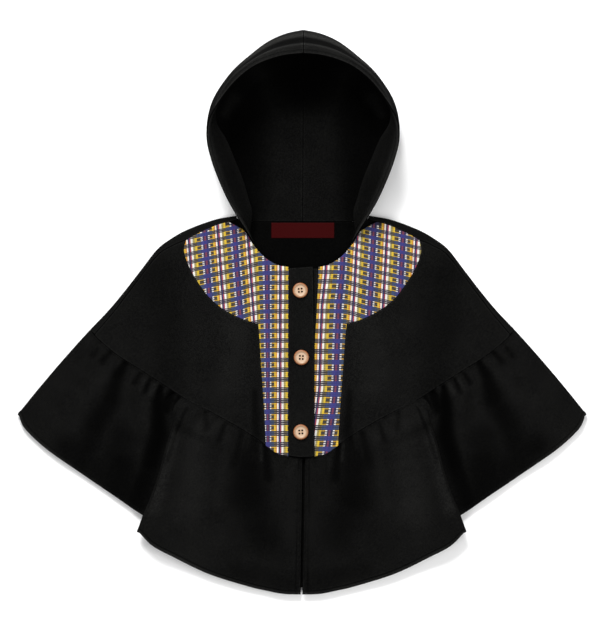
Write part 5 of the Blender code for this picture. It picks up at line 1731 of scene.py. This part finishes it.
@dataclass
class WoodButton:
    """Turned four-hole button with a raised rim, and the thread in its holes."""

    room: Workroom
    band: ButtonBand
    finish: Material
    thread: Material
    name: str
    x: float
    y: float
    turn: float
    diameter: float = 22.0
    thickness: float = 3.4
    hole: float = 2.9
    spread: float = 3.05
    buttonhole: float = 27.0
    segments: int = 96
    hole_segments: int = 28
    sharp_degrees: float = 38.0
    # From below the button to above it
    drill_levels: tuple[float, float] = (-2.0, 6.0)
    # Profile from the centre of the face to the back: share of the radius, share of the thickness
    face_level: float = 0.70
    profile: Table = (
        (0.30, 0.70), (0.52, 0.72), (0.60, 0.75), (0.66, 0.81), (0.71, 0.90), (0.76, 0.97), (0.82, 1),
        (0.88, 0.985), (0.94, 0.92), (0.98, 0.80), (1, 0.62), (0.99, 0.45), (0.95, 0.25), (0.88, 0.08),
        (0.80, 0),
    )

    def circle(self, radius: float, level: float, count: int) -> Array:
        """Points of a level circle round the button's axis."""
        angle = np.linspace(0.0, 2 * math.pi, count, endpoint=False)
        return np.column_stack([radius * np.cos(angle), radius * np.sin(angle), np.full(count, level)])

    def drill(self, piece: bpy.types.Object, holes: Array) -> None:
        """Cut the holes and mark each point's distance from the centre.

        Args:
            piece: The turned body.
            holes: Centres of the holes.
        """
        tools = []
        for number, centre in enumerate(holes):
            rings = [self.circle(self.hole / 2, level, self.hole_segments) for level in self.drill_levels]
            points, faces = loft(np.array(rings) + centre)
            mesh = bpy.data.meshes.new(f"{self.name}_drill_{number}")
            mesh.from_pydata((points * MM).tolist(), [], faces)
            tools.append(bpy.data.objects.new(mesh.name, mesh))
            self.room.collection.objects.link(tools[-1])
            tools[-1].parent = piece
            cut = piece.modifiers.new("Hole", "BOOLEAN")
            cut.operation, cut.solver, cut.object = "DIFFERENCE", "EXACT", tools[-1]
        bpy.context.view_layer.update()
        cut_through = piece.evaluated_get(bpy.context.evaluated_depsgraph_get())
        drilled = bpy.data.meshes.new_from_object(cut_through)
        piece.modifiers.clear()
        for tool in tools:
            bpy.data.objects.remove(tool, do_unlink=True)
        piece.data = drilled
        points = np.zeros(3 * len(drilled.vertices))
        drilled.vertices.foreach_get("co", points)
        reach = np.linalg.norm(points.reshape(-1, 3)[:, :2], axis=1) / (self.diameter / 2 * MM)
        layer = drilled.attributes.new("from_centre", "FLOAT", "POINT")
        layer.data.foreach_set("value", reach.astype(np.float32))
        drilled.set_sharp_from_angle(angle=math.radians(self.sharp_degrees))

    def build(self) -> None:
        """Make the button, its thread and its buttonhole."""
        place = np.array([self.x, self.y, self.band.top_level(self.x, self.y) + 0.1])
        rows = np.array(self.profile) * (self.diameter / 2, self.thickness)
        rings = np.array([self.circle(radius, level, self.segments) for radius, level in rows])
        tips = np.array([(0.0, 0.0, self.face_level * self.thickness), (0.0, 0.0, 0.0)])
        points, faces = loft(rings, tips)
        piece = self.room.body(f"{self.name}_wood", points, faces, self.finish, "button_wood")
        holes = self.circle(self.spread, 0.0, 8)[1::2]
        self.drill(piece, holes)
        spin = Matrix.Rotation(math.radians(self.turn), 4, "Z")
        centre = (place + (self.room.lean * self.y, 0.0, 0.0)) * MM
        piece.data.transform(Matrix.Translation(centre.tolist()) @ spin)
        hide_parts(self.name)
        rods = []
        for hole in holes @ np.array(spin)[:3, :3].T:
            low, high = hole + (0.0, 0.0, 0.3), hole * 0.98 + (0.0, 0.0, 1.7)
            rods.append(place + low + np.outer(np.linspace(0.0, 1.0, 4), high - low))
        Stitching(self.room, self.thread, f"{self.name}_thread", width=2.5).tubes(rods)
        long = np.outer(np.linspace(-0.5, 0.5, 9), (0.0, self.buttonhole, 0.0))
        rods = [place + long + (away, 0.0, -0.05) for away in (-0.55, 0.55)]
        Stitching(self.room, self.thread, f"{self.name}_buttonhole", width=0.9).tubes(rods)


# Studio


@dataclass
class Studio:
    """Pale floor, soft light and a camera straight above."""

    distance: float = 14.0
    view_height: float = 0.902
    sensor: float = 36.0
    centre: tuple[float, float] = (-0.0035, 0.0026)
    floor_colour: str = "#f7f7f7"
    floor_reach: float = 40.0
    world_strength: float = 0.5
    # Lamps: name, place and size in metres, power in watts
    lamps: tuple = (
        ("key_light", (-0.8, 3.2, 2.4), 1.6, 260.0), ("fill_light", (2.6, -0.6, 2.8), 2.2, 60.0),
        ("low_light", (-2.4, -2.0, 3.0), 2.2, 40.0),
    )

    def put(self, name: str, data: bpy.types.ID, place: tuple[float, float, float]) -> bpy.types.Object:
        """Place one thing of the studio in the scene.

        Args:
            name: Its name.
            data: Its mesh, light or camera.
            place: Where it stands, in metres.

        Returns:
            The object.
        """
        thing = bpy.data.objects.new(name, data)
        thing.location = place
        bpy.context.scene.collection.objects.link(thing)
        return thing

    def floor(self) -> None:
        """Lay the floor."""
        mesh, reach = bpy.data.meshes.new("floor"), self.floor_reach
        corners = [(x * reach, y * reach, -0.0006) for x, y in ((-1, -1), (1, -1), (1, 1), (-1, 1))]
        mesh.from_pydata(corners, [], [(0, 1, 2, 3)])
        paint = bpy.data.materials.new("floor_paint")
        paint.use_nodes = True
        connect(paint.node_tree, paint.node_tree.nodes["Principled BSDF"], {
            "Base Color": hex_linear(self.floor_colour), "Roughness": 0.9, "Specular IOR Level": 0.1})
        mesh.materials.append(paint)
        self.put("floor", mesh, (0.0, 0.0, 0.0))

    def build(self) -> None:
        """Set up floor, lights, surroundings and camera."""
        scene = bpy.context.scene
        self.floor()
        for name, place, size, power in self.lamps:
            light = bpy.data.lights.new(name, "AREA")
            light.shape, light.size, light.energy = "SQUARE", size, power
            lamp = self.put(name, light, place)
            x, y, z = place
            lamp.rotation_euler = (math.atan2(math.hypot(x, y), z), 0.0, math.atan2(x, -y))
            lamp.visible_camera = False
        world = bpy.data.worlds.new("studio_air")
        world.use_nodes = True
        connect(world.node_tree, world.node_tree.nodes["Background"], {
            "Color": hex_linear("#ffffff"), "Strength": self.world_strength})
        scene.world = world
        scene.view_settings.view_transform = "Standard"
        camera = bpy.data.cameras.new("photo_camera")
        camera.sensor_fit = "AUTO"
        camera.sensor_width = self.sensor
        camera.lens = self.sensor * self.distance / self.view_height
        camera.clip_end = 100.0
        scene.camera = self.put("photo_camera", camera, (*self.centre, self.distance))


# Putting together


@dataclass
class Capelet:
    """The whole garment, sewn in order."""

    room: Workroom
    lines: PaperPattern = field(default_factory=PaperPattern)
    # Buttons: name, x, y, turn in degrees
    buttons: tuple[tuple[str, float, float, float], ...] = (
        ("button_top", -3.2, 32.6, 6.0), ("button_middle", -1.3, -64.7, -3.0),
        ("button_bottom", -1.7, -172.7, 3.0),
    )

    def build(self) -> None:
        """Make every piece."""
        room, lines = self.room, self.lines
        wool, tweed, wood = (finish.make() for finish in (WoolCoating(), CheckedTweed(), TurnedWood()))
        satin, thread = LABEL_SATIN.make(), SEWING_THREAD.make()
        BackPanel(room, lines, wool).build()
        BackRuffle(room, lines, wool).build()
        for side in Side:
            FrontHalf(room, lines, wool, side).build()
            BibHalf(room, lines, tweed, side).build()
            hem_line = FrontRuffle(room, lines, wool, side=side).build()
            Stitching(room, thread, f"hem_stitches_{side.word}").along(hem_line)
            for number, line in enumerate(HoodHalf(room, lines, wool, side).build()):
                Stitching(room, thread, f"rim_stitches_{side.word}_{number + 1}").along(line, 0.0)
        band = ButtonBand(room, lines, wool)
        band.build()
        NeckLabel(room, lines, satin).build()
        for name, x, y, turn in self.buttons:
            WoodButton(room, band, wood, thread, name, x, y, turn).build()


def main() -> None:
    """Build the garment and its studio."""
    logging.basicConfig(level=logging.INFO, format="%(message)s")
    Capelet(Workroom()).build()
    Studio().build()
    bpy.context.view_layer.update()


if __name__ == "__main__":
    main()
